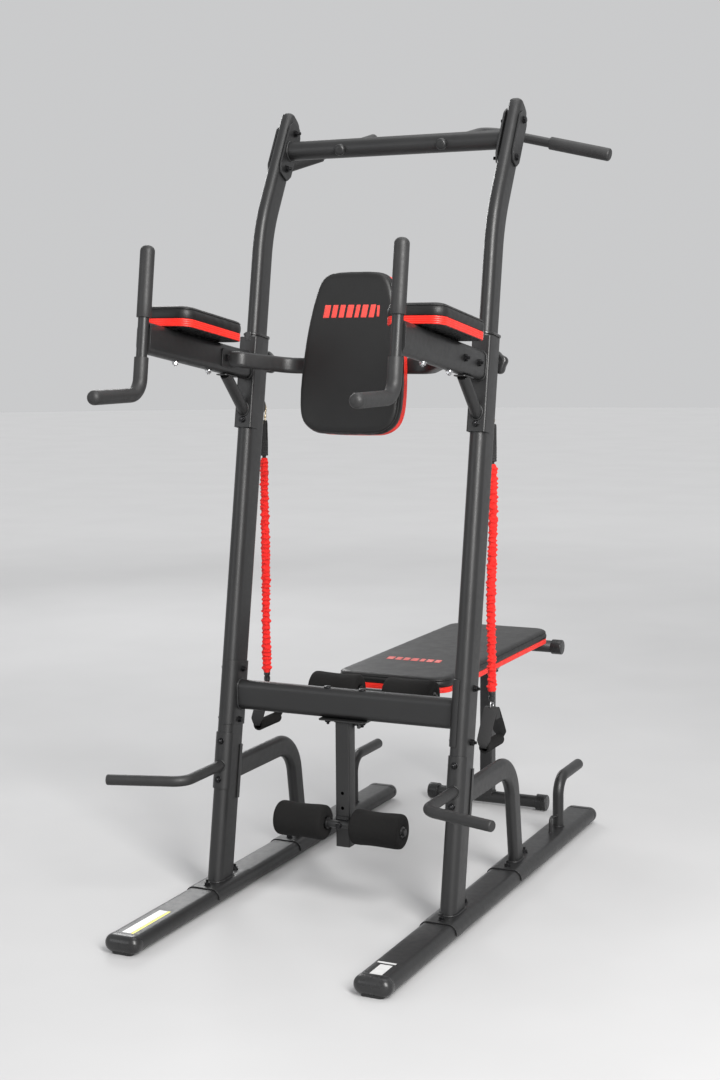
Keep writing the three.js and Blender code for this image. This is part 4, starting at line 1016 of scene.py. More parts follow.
# ------------------------------------------------------------------ crossbar, post and rollers
def crossbar():
    s0, s1 = sOf(458), sOf(626)
    xi = XU - 22.5 - G - 1.5
    ob = obround(40, 80, 20)
    g = loft([[(x, CY + a, CZ + b) for a, b in ob] for x in (-xi, -xi / 2, 0, xi / 2, xi)])
    make("crossbar", g, "powder_coat", FRAME, "crossbar", "frame_steel")
    w = shell(45.6, 90.6, 3.0, lambda a, b: a < 0.5, uf, s0, s1)
    both("crossbar_wrap", w, "powder_coat", FRAME, slot="frame_steel", bevel=0.8)
    ring = [(XU - 26.6 - 0.2 + 9 * max(0, abs((CY + a - yU(CZ + b))) / 45) ** 3.2, CY + a, CZ + b) for a, b in dense_obround(42, 82, 5)]
    both("crossbar_weld", bead(ring, 2.6, True), "powder_coat", FRAME, slot="frame_steel", sharp=60)
    b = through_bolt(sOf(605)).join(through_bolt(sOf(471)))
    both("crossbar_bolts", b, "black_oxide", FRAME, slot="plated_hardware", sharp=30)
    ear = lambda x0, x1: prism(soften([(CY + 17, 468), (CY + 40, 468), (CY + 64, 476), (CY + 71, 493.7), (CY + 64, 511), (CY + 40, 519), (CY + 17, 519)], 8, 5), x0, x1, lambda a, b, h: (h, a, b))
    make("pivot_ears", ear(25.7, 30).join(ear(-30, -25.7)), "powder_coat", FRAME, (), "frame_steel", bevel=0.7)
    # post with its plate
    zt = CZ - 40 - G
    pl = prism(rrect(132, 46, 8, 6), zt - 4, zt, lambda a, b, h: (a, CY - 5 + b, h))
    make("post_plate", pl, "powder_coat", FRAME, (), "frame_steel", bevel=0.8)
    po, pi = rrect(40, 40, 4, 6), rrect(35.6, 35.6, 2.5, 6)
    post = tube_prism(po, pi, 158, zt - 3, lambda a, b, h: (a, CY + b, h))
    for z in (302, 262):
        post = boolean(post, loft([[(a, CY + y, z + b) for a, b in circle(9.4, 28)] for y in (-40, 40)]), "DIFFERENCE")
    make("roller_post", post, "powder_coat", FRAME, "roller_post", "frame_steel", bevel=0.5, sharp=35)
    make("post_weld", bead([(a, CY + b, zt - 4.6) for a, b in rrect(43, 43, 5, 4)], 2.4, True), "powder_coat", FRAME, (), "frame_steel", sharp=60)
    b = Geo()
    for x in (50, -50):
        b.join(dome_head((x, CY, CZ + 39.6), (0, 0, 1), 20, 4.2))
        b.join(hexhead((x, CY, zt - 4), (0, 0, -1), 14.5, 7.5, 20, 1.7, 5, 8, roll=x))
    make("post_bolts", b, "black_oxide", FRAME, (), "plated_hardware", sharp=34)
    ya, za = CY - 20 - G - 13, 222
    ax = rod(20, (-186, ya, za), (186, ya, za), 40, 1.2)
    for k in (-1, 1):
        ax.join(rod(30, (k * 34, ya, za), (k * 38, ya, za), 40, 0.6))
    ax.join(prism(rrect(36, 38, 4, 5), CY - 20 - G - 3.6, CY - 20 - G, lambda a, b, h: (a, h, za + b)))
    ax.join(bead([(10.8 * math.copysign(1, math.cos(t)) * 1.2, ya + 9.6, za + 12 * math.sin(t)) for t in [2 * math.pi * j / 30 for j in range(30)]], 1.8, True))
    make("lower_roller_axle", ax, "powder_coat", FRAME, "lower_roller_axle", "plated_hardware", sharp=40)
    bt = hexhead((0, ya - 9.4, za), (0, -1, 0), 14, 6.5, 18, 1.6, 0, 8).join(hexhead((0, CY + 20 + G, za), (0, 1, 0), 14, 6.5, 18, 1.6, 6, 8))
    make("lower_roller_bolt", bt, "black_oxide", FRAME, (), "plated_hardware", sharp=30)


def foam_roller(y, z, seed):
    rnd = random.Random(seed)
    R = 46.0
    prof = []
    # inner bore, end face with a dish, rounded edge, waisted body
    for x, r in ((39.4, 10.6), (39.2, 20), (39.6, 30), (40.2, 37), (41.6, 41.6), (44.6, 44.4), (49, 45.7), (58, 45.9)):
        prof.append((x, r))
    for i in range(1, 12):
        t = i / 12
        prof.append((58 + 102 * t, 45.9 - 1.9 * math.sin(math.pi * t)))
    for x, r in ((160, 45.9), (170, 45.8), (175.4, 44.5), (178.2, 41.8), (179.4, 37), (179.4, 30), (178.2, 23), (176.4, 17.5), (175.8, 15.6)):
        prof.append((x, r))
    prof.append((175.8, 10.6))
    n = 72
    rings = []
    for x, r in prof:
        ring = []
        for j in range(n):
            t = 2 * math.pi * j / n
            d = 0.0
            if r > 25:
                d = 1.1 * noise.noise(Vector((x * 0.018 + seed, 1.6 * math.cos(t), 1.6 * math.sin(t)))) + 0.35 * noise.noise(Vector((x * 0.09, 5 * math.cos(t), 5 * math.sin(t) + seed)))
            rr = min(r + d, 46.2)
            ring.append((x, y + rr * math.cos(t), z + rr * math.sin(t)))
        rings.append(ring)
    return loft(rings, wrap=True)


def rollers():
    ya, za = CY - 33.3, 222.0
    for nm, y, z, body, rep in (("lower_roller", ya, za, "*low_roller", "lower_roller"), ("bench_roller", 333.0, 533.0, "*top_roller", "bench_roller")):
        for ob in both(nm, foam_roller(y, z, 3 if nm[0] == "l" else 8), "foam", body, rep, slot="roller_foam", sharp=45, subsurf=1):
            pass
        cap = loft([[(x, y + r * math.cos(t), z + r * math.sin(t)) for t in [2 * math.pi * j / 40 for j in range(40)]] for x, r in ((168, 9.9), (176.0, 15), (178.0, 15.2), (179.0, 14.6), (179.4, 12.4), (179.1, 5.6), (177.2, 4.6), (177, 1.5))])
        both(nm + "_plug", cap, "plastic", body, slot="black_plastic", sharp=38)


# ------------------------------------------------------------------ arch braces and push-up bars
def arches():
    s0, s1 = sOf(262), sOf(404)
    w = shell(45.6, 90.6, 3.0, lambda a, b: b > 12, uf, s0, s1)
    both("arch_plate", w, "powder_coat", FRAME, slot="frame_steel", bevel=0.8)
    zl, yv = 333.0, 496.0
    p = densify(bent([(XU, yU(zl) + 40, zl), (XU, yv, zl), (XU, 541, 49)], [105], 26), 50)
    q = sweep(obround(30, 60, 20), p, (1, 0, 0))
    both("arch_brace", q, "powder_coat", FRAME, "arch_brace", slot="frame_steel", sharp=50)
    both("arch_saddle", saddle_shell(447, 635), "powder_coat", FRAME, slot="frame_steel", bevel=0.8)
    tb = [(XU + a * 1.07, 541 + b * 1.03, BT + 3.9) for a, b in dense_obround(30, 60, 4)]
    tf = []
    for a, b in dense_obround(32.5, 62.5, 4):
        z = zl + b
        c = math.sqrt(max(0, 1 - (a / 26.0) ** 2))
        tf.append((XU + a, yU(z) + 24 + 24.5 * c * 1.0 + 1.2, z))
    both("arch_weld", bead(tb, 2.4, True).join(bead(tf, 2.4, True)), "powder_coat", FRAME, slot="frame_steel", sharp=60)
    b = top_bolt(475).join(top_bolt(612))
    both("arch_bolts", b, "black_oxide", FRAME, slot="plated_hardware", sharp=30)
    # push-up bars
    s0, s1 = sOf(288), sOf(436)
    w = shell(45.6, 90.6, 3.0, lambda a, b: b < -26, uf, s0, s1)
    both("pushup_plate", w, "powder_coat", FRAME, slot="frame_steel", bevel=0.8)
    e = uni((196, -62, 0))
    tip = va((XU, -105, 356), e, 207)
    pp = densify(bent([(XU, yU(356) - 44, 356), (XU, -105, 356), tip], [46], 20), 40)
    q = sweep(circle(28, 44), nose(pp, 4.5, 14, 7), (0, 0, 1))
    both("pushup_bar", q, "grip_rubber", FRAME, "pushup_bar", slot="frame_steel", sharp=50)
    r = []
    for j in range(48):
        t = 2 * math.pi * j / 48
        a, z = 15.2 * math.cos(t), 356 + 15.2 * math.sin(t)
        r.append((XU + a, yU(z) - (22.8 + 3 + math.sqrt(25.8 ** 2 - a * a)) + 2.5, z))
    both("pushup_weld", bead(r, 2.3, True), "powder_coat", FRAME, slot="frame_steel", sharp=60)
    b = Geo()
    for z in (413, 312):
        s = sOf(z)
        nrm = (0, -CU, SU)
        b.join(hexhead(UF(XU, -48.2, s), nrm, 14, 6, 18, 1.6, 4, 8, roll=z))
        b.join(hexhead(UF(XU, 48.2, sOf(z - 16)), (0, CU, -SU), 14, 6, 18, 1.6, 5, 8, roll=z))
    both("pushup_bolts", b, "black_oxide", FRAME, slot="plated_hardware", sharp=30)


# ------------------------------------------------------------------ arms
def HA(z): return (XU, -254 + (SA / CA) * (z - 1540), z)


HB = (0, SA, CA)


def brackets():
    s0, s1 = sOf(1243), 1455.0
    f, w = -(45 + G), 22.5 + G
    t = 3.0
    # formed channel: outer corners rounded
    def corner(cx, cv, r, a0, a1, n=6):
        return [(cx + r * math.cos(math.radians(a0 + (a1 - a0) * i / n)), cv + r * math.sin(math.radians(a0 + (a1 - a0) * i / n))) for i in range(n + 1)]
    R = 6.0
    outer = [(w + t, -8)] + corner(w + t - R, f - t + R, R, 0, -90) + corner(-(w + t) + R, f - t + R, R, -90, -180) + [(-(w + t), -8)]
    r = R - t
    inner = [(-w, -8)] + corner(-w + r, f + r, r, 180, 270) + corner(w - r, f + r, r, -90, 0) + [(w, -8)]
    g = prism(outer + inner, s0, s1, uf)
    both("arm_bracket", g, "powder_coat", FRAME, "arm_bracket", slot="frame_steel", bevel=0.6)
    # stub, brace, pad
    stub = tube_prism(obround(35.2, 73.2, 18), obround(30, 68, 18), -40, 150, lambda a, b, h: AF(XU + a, h, b))
    fore = prism([(-400, -3000), (f - 1, -3000), (f - 1, 3000), (-400, 3000)], XU - 60, XU + 60, lambda a, b, h: UF(h, a, b))
    stub = boolean(stub, fore, "INTERSECT")
    low, hi = UF(XU, f - 2, sOf(1290)), AF(XU, 80, -39 - G - 3)
    d = uni(vd(hi, low))
    br = [(va(low, d, -22), d, 1), (va(low, d, 30), d, 1), (va(hi, d, -14), d, 1), (va(hi, d, 6), d, 1)]
    brace = sweep(circle(30, 40), br, (1, 0, 0))
    keep = prism([(-90, -39 - G - 1.5), (200, -39 - G - 1.5), (200, -300), (-90, -300)], XU - 60, XU + 60, lambda a, b, h: AF(h, a, b))
    brace = boolean(boolean(brace, keep, "INTERSECT"), fore, "INTERSECT")
    pad = prism(rrect(62, 34, 8, 6), -39 - G - 3, -39 - G, lambda a, b, h: AF(XU + b, 79 + a, h))
    both("arm_stub", stub, "powder_coat", FRAME, slot="frame_steel", bevel=0.8, sharp=40)
    both("arm_brace", brace.join(pad), "powder_coat", FRAME, slot="frame_steel", bevel=0.8, sharp=40)
    # welds
    r1 = []
    for a, b in dense_obround(37.5, 75.5, 4):
        # slide back along the arm axis to the channel front plane
        p0, p1 = AF(XU + a, 0, b), AF(XU + a, -10, b)
        def vof(p): return (p[1] - 70) * CU - (p[2] - 50) * SU
        v0, v1 = vof(p0), vof(p1)
        k = (f - t - 1.0 - v0) / (v1 - v0)
        r1.append(AF(XU + a, -10 * k, b))
    g = bead(r1, 2.5, True)
    r2 = []
    u, n2 = uni(crs(d, (1, 0, 0))), (1, 0, 0)
    for j in range(44):
        th = 2 * math.pi * j / 44
        off = va(sc(n2, 15.8 * math.cos(th)), u, 15.8 * math.sin(th))
        p0 = va(low, off)
        p1 = va(p0, d, 10)
        v0 = (p0[1] - 70) * CU - (p0[2] - 50) * SU
        v1 = (p1[1] - 70) * CU - (p1[2] - 50) * SU
        k = (f - t - 0.8 - v0) / (v1 - v0)
        r2.append(va(p0, d, 10 * k))
    g.join(bead(r2, 2.3, True))
    both("bracket_weld", g, "powder_coat", FRAME, slot="frame_steel", sharp=60)
    b = hexhead(UF(XU, f - t, sOf(1263)), (0, -CU, SU), 14, 6, 18, 1.6, 4, 8, roll=0.4)
    both("bracket_bolt", b, "black_oxide", FRAME, slot="plated_hardware", sharp=30)


def arms():
    ob, ib = obround(40, 78, 20), obround(36, 74, 20)
    tEnd = 497.0
    rings = [[AF(XU + a, h, b) for a, b in ob] for h in (-6, 120, 250, 380)]
    # front end coped round the handle tube
    cope = []
    for a, b in ob:
        rr = 13.2
        k = rr - math.sqrt(max(0, rr * rr - min(abs(a), rr) ** 2)) if abs(a) < rr else rr
        cope.append(AF(XU + a, tEnd - 14 + min(12, 0.75 * k) + 1.5, b))
    rings.append(cope)
    arm = loft([[AF(XU + a, 40, b) for a, b in ib], [AF(XU + a, -5.4, b) for a, b in ib]] + rings[0:1] + rings[1:])
    both("arm", arm, "powder_coat", FRAME, "arm", slot="frame_steel", bevel=0.6, sharp=40)
    hp = densify(bent([HA(1705), (XU, HA(1355)[1], 1355), (XU, -484, 1355)], [46], 20), 40)
    tube = sweep(circle(27, 44), hp, (1, 0, 0))
    both("arm_handle", tube, "powder_coat", FRAME, slot="frame_steel", sharp=50)
    # weld between tube and arm, two vertical runs joined round the ends
    wl = []
    for a, b in dense_obround(30, 76, 4):
        rr = 14.2
        aa_ = max(-rr, min(rr, a))
        wl.append(AF(XU + a * 0.92, tEnd - 0.5 - (rr - math.sqrt(rr * rr - aa_ * aa_)) * -0.2 - 13.5 * (1 - 0.0) + 1.5 * (abs(a) / 15), b * 1.0))
    both("arm_handle_weld", bead(wl, 2.6, True), "powder_coat", FRAME, slot="frame_steel", sharp=60)
    # upper grip
    a0, a1 = HA(1540), va(HA(1705), HB, 8)
    gp = [(a0, HB, 28.0 / 36), (va(a0, HB, 0.2), HB, 0.97), (va(a0, HB, 1.6), HB, 1), (a1, HB, 1)]
    both("upper_grip", sweep(circle(36, 44), nose(densify(gp, 30), 15, 18, 14), (1, 0, 0)), "grip_rubber", FRAME, "upper_grip", slot="grip_rubber", sharp=50)
    b0 = HA(1445)
    gq = bent([b0, (XU, HA(1355)[1], 1355), (XU, -490, 1355)], [46], 20)
    gq = [(gq[0][0], gq[0][1], 28.0 / 35), (va(gq[0][0], gq[0][1], 0.2), gq[0][1], 0.965), (va(gq[0][0], gq[0][1], 1.8), gq[0][1], 1)] + gq[1:]
    both("dip_grip", sweep(circle(35, 44), nose(densify(gq, 30), 15, 17.5, 14), (1, 0, 0)), "grip_rubber", FRAME, "dip_grip", slot="grip_rubber", sharp=50)
    # cross bolts, one outer and one by the backrest bar
    nrm = (1, 0, 0)
    for nm, t in (("arm_front_bolt", 126), ("arm_rear_bolt", 33)):
        xi = -20 - G - (3.2 if t == 126 else 0)
        b = hexhead(AF(XU + 20.0, t, 0), (1, 0, 0), 15, 6.5, 20, 1.6, 5, 9, roll=0.5)
        b.join(hexhead(AF(XU + xi, t, 0), (-1, 0, 0), 15, 6.5, 20, 1.6, 0, 9, roll=0.3))
        both(nm, b, "black_oxide", FRAME, nm, slot="plated_hardware", sharp=30)
    # screws that hold the pads from below
    b = Geo()
    for t in ((341), (175)):
        b.join(hexhead(AF(XU, t, -38.8), vd(AF(0, 0, -1), AF(0, 0, 0)), 13.5, 6, 19, 1.6, 3, 7, roll=t))
    both("pad_screws", b, "zinc", FRAME, slot="plated_hardware", sharp=30)


for fn in (base, lower_uprights, upper, crossbar, rollers, arches, brackets, arms):
    fn()


# ------------------------------------------------------------------ cushions
def resample(outline, step):
    n = len(outline)
    segs = []
    tot = 0.0
    for i in range(n):
        a, b = outline[i], outline[(i + 1) % n]
        l = math.hypot(b[0] - a[0], b[1] - a[1])
        segs.append((tot, l, a, b))
        tot += l
    m = int(round(tot / step))
    out = []
    k = 0
    for i in range(m):
        s = tot * i / m
        while k < n - 1 and s > segs[k][0] + segs[k][1]:
            k += 1
        t = (s - segs[k][0]) / (segs[k][1] or 1)
        a, b = segs[k][2], segs[k][3]
        out.append((a[0] + (b[0] - a[0]) * t, a[1] + (b[1] - a[1]) * t))
    return out


def catmull_closed(pts, sub=8):
    n = len(pts)
    out = []
    for i in range(n):
        p0, p1, p2, p3 = pts[i - 1], pts[i], pts[(i + 1) % n], pts[(i + 2) % n]
        for j in range(sub):
            t = j / sub
            out.append(tuple(0.5 * ((2 * p1[k]) + (-p0[k] + p2[k]) * t + (2 * p0[k] - 5 * p1[k] + 4 * p2[k] - p3[k]) * t * t + (-p0[k] + 3 * p1[k] - 3 * p2[k] + p3[k]) * t ** 3) for k in range(2)))
    return out


class Outline:
    def __init__(self, pts, step=5.0):
        self.p = resample(pts, step)
        n = len(self.p)
        ar = sum(self.p[i][0] * self.p[(i + 1) % n][1] - self.p[(i + 1) % n][0] * self.p[i][1] for i in range(n))
        if ar < 0:
            self.p.reverse()
        self.n = n
        self.c = (sum(q[0] for q in self.p) / n, sum(q[1] for q in self.p) / n)
        self.nr = []
        for i in range(n):
            a, b = self.p[i - 2], self.p[(i + 2) % n]
            dx, dy = b[0] - a[0], b[1] - a[1]
            l = math.hypot(dx, dy)
            self.nr.append((-dy / l, dx / l))
        self.s = [0.0]
        for i in range(1, n):
            self.s.append(self.s[-1] + math.hypot(self.p[i][0] - self.p[i - 1][0], self.p[i][1] - self.p[i - 1][1]))
        # bend of the outline, larger at corners
        self.k = []
        for i in range(n):
            a, b = self.nr[i - 3], self.nr[(i + 3) % n]
            self.k.append(min(1.0, math.hypot(b[0] - a[0], b[1] - a[1]) * 1.1))

    def ring(self, k):
        if callable(k):
            return [(p[0] + m[0] * k(i), p[1] + m[1] * k(i)) for i, (p, m) in enumerate(zip(self.p, self.nr))]
        return [(p[0] + m[0] * k, p[1] + m[1] * k) for p, m in zip(self.p, self.nr)]


def cushion(name, outline, P, band, top, body, rep, seed, crown=2.0, seam=9.0, slot="pad_vinyl"):
    """board, ribbed red band and crowned vinyl cover; P(a, b, h) places a point, band and top are heights"""
    o = outline
    # board under the band
    rings = [[P(a, b, h) for a, b in o.ring(k)] for h, k in ((0.0, 9), (0.0, 4.5), (0.5, 4.0), (3.0, 4.0))]
    make(name + "_board", loft(rings), "plastic", body, (), "black_plastic", sharp=40)
    # band with fine ribs and rolled edges
    prof = [(0.6, 4.2), (0.6, 1.6), (0.9, 0.6), (1.8, 0.05)]
    nrib = 3
    for i in range(nrib):
        c = band * (i + 1) / (nrib + 1)
        prof += [(c - 1.1, 0.0), (c - 0.5, 0.35), (c, 0.95), (c + 0.5, 0.35), (c + 1.1, 0.0)]
    prof += [(band - 1.6, 0.05), (band - 0.7, 0.5), (band - 0.2, 1.5), (band - 0.1, 4.0)]
    rings = [[P(a, b, h) for a, b in o.ring(k + 0.0)] for h, k in prof]
    make(name + "_band", loft(rings, caps=True), "red_band", body, (), slot, sharp=50)
    # cover
    hs = top - seam
    prof = [(band - 0.1, 5.0, 0), (band + 0.0, 2.2, 0.2), (band + 1.0, 0.9, 0.3), (band + 3.0, 0.1, 0.3)]
    for i in range(1, 5):
        t = i / 5
        prof.append((band + 3 + (hs - 3 - band - 3) * t, 0.1 - 1.5 * math.sin(math.pi * t), 0.35))
    prof += [(hs - 2.2, 0.6, 0.8), (hs - 1.0, 1.2, 1.0), (hs - 0.35, 2.2, 1.0), (hs, 2.9, 1.0), (hs + 0.35, 2.3, 1.0), (hs + 1.1, 1.7, 1.0)]
    R = seam - 1.2
    INS = 16.0
    for i in range(1, 10):
        a = math.pi / 2 * i / 10
        prof.append((hs + 1.1 + R * math.sin(a), 1.7 + INS * (1 - math.cos(a)), 0.9 - 0.6 * i / 10))
    rings = []
    for h, k, pk in prof:
        def kk(i, k=k, pk=pk, h=h):
            s = o.s[i]
            c = o.k[i]
            w = math.sin(2 * math.pi * s / 11.0 + 2.2 * noise.noise(Vector((s * 0.03, seed, 0))))
            w2 = noise.noise(Vector((s * 0.045, h * 0.08, seed)))
            return k + pk * (0.22 + 0.5 * c) * 0.55 * w + 0.9 * w2 * (0.3 if pk == 0 else 1)
        rings.append([P(a, b, h) for a, b in o.ring(kk)])
    # crowned top, drawn towards the middle
    last = o.ring(1.7 + INS)
    cx, cy = o.c
    m = 22
    for j in range(0, m):
        f = 1 - (j / m) ** 1.15
        ring = []
        for i, (a, b) in enumerate(last):
            x, y = cx + (a - cx) * f, cy + (b - cy) * f
            hh = top + crown * (1 - f * f)
            hh += 0.55 * noise.noise(Vector((x * 0.012, y * 0.012, seed * 3.1))) + 0.22 * noise.noise(Vector((x * 0.05, y * 0.05, seed * 1.7)))
            # soft drag lines from the corners
            hh -= 0.5 * o.k[i] * max(0, (f - 0.72) / 0.28) * (0.5 + 0.5 * math.sin(o.s[i] / 5.0))
            ring.append(P(x, y, hh))
        rings.append(ring)
    g = loft(rings, caps=True)
    ob = make(name, g, "vinyl", body, rep, slot, sharp=60)
    # stitches either side of the seam
    st = Geo()
    L = o.s[-1]
    pitch = 5.2
    s = 0.0
    i = 0
    while s < L:
        while i < o.n - 2 and o.s[i + 1] < s:
            i += 1
        k = i
        p, nr = o.p[k], o.nr[k]
        tx, ty = nr[1], -nr[0]
        kq = 1.25
        h = hs + 2.0
        base = []
        for q, r in ((-1.7, 0.12), (-1.3, 0.42), (0, 0.55), (1.3, 0.42), (1.7, 0.12)):
            ring = []
            for j in range(6):
                th = 2 * math.pi * j / 6
                ring.append(P(p[0] + nr[0] * (kq + r * math.cos(th)) + tx * q, p[1] + nr[1] * (kq + r * math.cos(th)) + ty * q, h + r * math.sin(th)))
            base.append(ring)
        st.join(loft(base))
        s += pitch
    make(name + "_stitching", st, "black_thread", body, (), slot, sharp=60)
    return ob


def mark(name, quads, P, target, direction, body):
    """raised embroidery laid on the cover: rounded slanted blocks"""
    g = Geo()
    inv = target.matrix_world.inverted()
    for q in quads:
        base = soften(q, 1.6, 3)
        # fill: rings from the rim towards the middle
        cx, cy = sum(a for a, b in base) / len(base), sum(b for a, b in base) / len(base)
        rings = []
        for f, up in ((1.0, -0.5), (1.0, 0.25), (0.93, 0.62), (0.8, 0.8), (0.5, 0.85), (0.12, 0.85)):
            ring = []
            for a, b in base:
                x, y = cx + (a - cx) * f, cy + (b - cy) * f
                o3, e3 = Vector(W(P(x, y, 200))), Vector(W(P(x, y, 0)))
                d = (e3 - o3).normalized()
                ok, loc, nrm, idx = target.ray_cast(inv @ o3, d)
                hit = loc if ok else e3
                w = hit - d * (up / 1000)
                ring.append((w.x * 1000, w.y * 1000 + YC, w.z * 1000))
            rings.append(ring)
        g.join(loft(rings))
    return make(name, g, "red_thread", body, (), "pad_vinyl", sharp=60)


def slanted(x0, x1, y0, y1, n, gap, slope, sizes=None):
    out = []
    sizes = sizes or [1] * n
    tot = sum(sizes)
    w = (x1 - x0 - gap * (n - 1))
    x = x0
    for i in range(n):
        ww = w * sizes[i] / tot
        out.append([(x, y0), (x + ww, y0), (x + ww + slope, y1), (x + slope, y1)])
        x += ww + gap
    return out


def pads():
    # forearm pads
    t0, t1 = 128.0, 415.0
    tc, ln_ = (t0 + t1) / 2, t1 - t0
    ol = Outline(resample(rrect(ln_ - 1, 149, 31, 12), 4.5), 4.5)
    for side in ("right", "left"):
        k = 1 if side == "right" else -1
        P = lambda a, b, h, k=k: AF(k * XU + b, tc + a, 39 + G + h)
        cushion(side + "_arm_pad", ol, P, 20.0, 52.0, FRAME, side + "_arm_pad", 3.0 + k, crown=1.6, seam=9.0)
    # backrest
    half = [(0, -183), (45, -182.6), (84, -180.5), (110, -171), (129, -153), (138.5, -126), (141.5, -90), (141.2, -45), (138, 6), (133, 59), (126.5, 104), (118, 147), (108, 186), (97, 213), (78, 230), (48, 236), (0, 237)]
    full = half + [(-x, y) for x, y in reversed(half[1:-1])]
    ol = Outline(catmull_closed(full, 8), 5.0)
    rear = -32.3 + 10 + G
    P = lambda a, b, h: AF(a, rear + h, b)
    ob = cushion("backrest_pad", ol, P, 20.0, 57.0, FRAME, "backrest_pad", 11.0, crown=3.0, seam=12.0)
    mark("backrest_mark", slanted(-83, 62, 116, 149, 7, 6.5, 5.0, [1.2, 1, 1, 1.2, 0.8, 1.1, 1]) + [[(70, 118), (77, 118), (77, 147), (70, 147)]], P, ob, None, FRAME)
    # bench
    y0, y1 = 437.0, 1325.0
    yc = (y0 + y1) / 2
    ol = Outline(resample(rrect(335, y1 - y0 - 1, 50, 14), 5.0), 5.0)
    zp = 518.7 + G
    P = lambda a, b, h: (a, yc + b, zp + h)
    ob = cushion("bench_pad", ol, P, 16.0, 43.6, "bench", "bench_pad", 7.0, crown=2.2, seam=9.5)
    mark("bench_mark", slanted(-100, 66, BMK[0] - yc, BMK[1] - yc, 7, 6.5, -5.0, [1.2, 1, 1, 1.2, 0.8, 1.1, 1]), P, ob, None, "bench")


BMK = (642.0, 678.0)


def backrest_bar():
    xp = XU - 20 - G
    tB = -32.3
    pts = [AF(x, t, 0) for x, t in ((xp + 6, 99.6), (288, 92), (205, tB), (-205, tB), (-288, 92), (-(xp + 6), 99.6))]
    nB = (0, SA, CA)
    p = densify(bent(pts, [26, 62, 62, 26], 12), 40)
    rings = []
    for q, t, s in p:
        u = uni(crs(t, nB))
        rings.append([va(va(q, u, a), nB, b) for a, b in obround(20, 42, 16)])
    bar = loft(rings)
    cutb = prism([(-xp + 0.6, -600), (xp - 0.6, -600), (xp - 0.6, 1600), (-xp + 0.6, 1600)], 1000, 2000, lambda a, b, h: (a, b, h))
    bar = boolean(bar, cutb, "INTERSECT")
    make("backrest_bar", bar, "powder_coat", FRAME, "backrest_bar", "frame_steel", bevel=0.6, sharp=40)
    pl = Geo()
    for k in (1, -1):
        pl.join(prism(rrect(60, 48, 7, 6), k * (xp - 3.4), k * (xp - 0.2), lambda a, b, h: AF(h, 117 + a, b)))
    make("backrest_bar_plates", pl, "powder_coat", FRAME, (), "frame_steel", bevel=0.7)
    # plate behind the pad with its screws
    pb = prism(rrect(150, 60, 8, 5), tB + 8.0, tB + 10.0 + G - 0.2, lambda a, b, h: AF(a, h, b))
    make("backrest_plate", pb, "powder_coat", FRAME, (), "frame_steel", bevel=0.5)
    sc_ = Geo()
    for x in (-55, 55):
        sc_.join(hexhead(AF(x, tB - 9.8, 0), vd(AF(0, -1, 0), AF(0, 0, 0)), 12, 5, 17, 1.4, 0, 7, roll=x))
    make("backrest_screws", sc_, "black_oxide", FRAME, (), "plated_hardware", sharp=30)


# ------------------------------------------------------------------ bench
def ribbed_cap(y, z, D, x0, x1):
    R = D / 2
    sp = [(x0, R - 2.6), (x0 + 0.3, R - 0.5), (x0 + 1.4, R)]
    x = x0 + 5
    while x < x1 - 10:
        sp += [(x - 0.6, R), (x, R - 0.7), (x + 0.6, R)]
        x += 7
    sp += [(x1 - 3.4, R), (x1 - 1.4, R - 0.5), (x1 - 0.3, R - 1.7), (x1, R - 4), (x1 - 0.5, R - 5), (x1 - 0.5, R - 8), (x1 - 0.2, R - 9), (x1 - 0.2, 2)]
    return loft([[(x, y + r * math.cos(t), z + r * math.sin(t)) for t in [2 * math.pi * j / 56 for j in range(56)]] for x, r in sp])


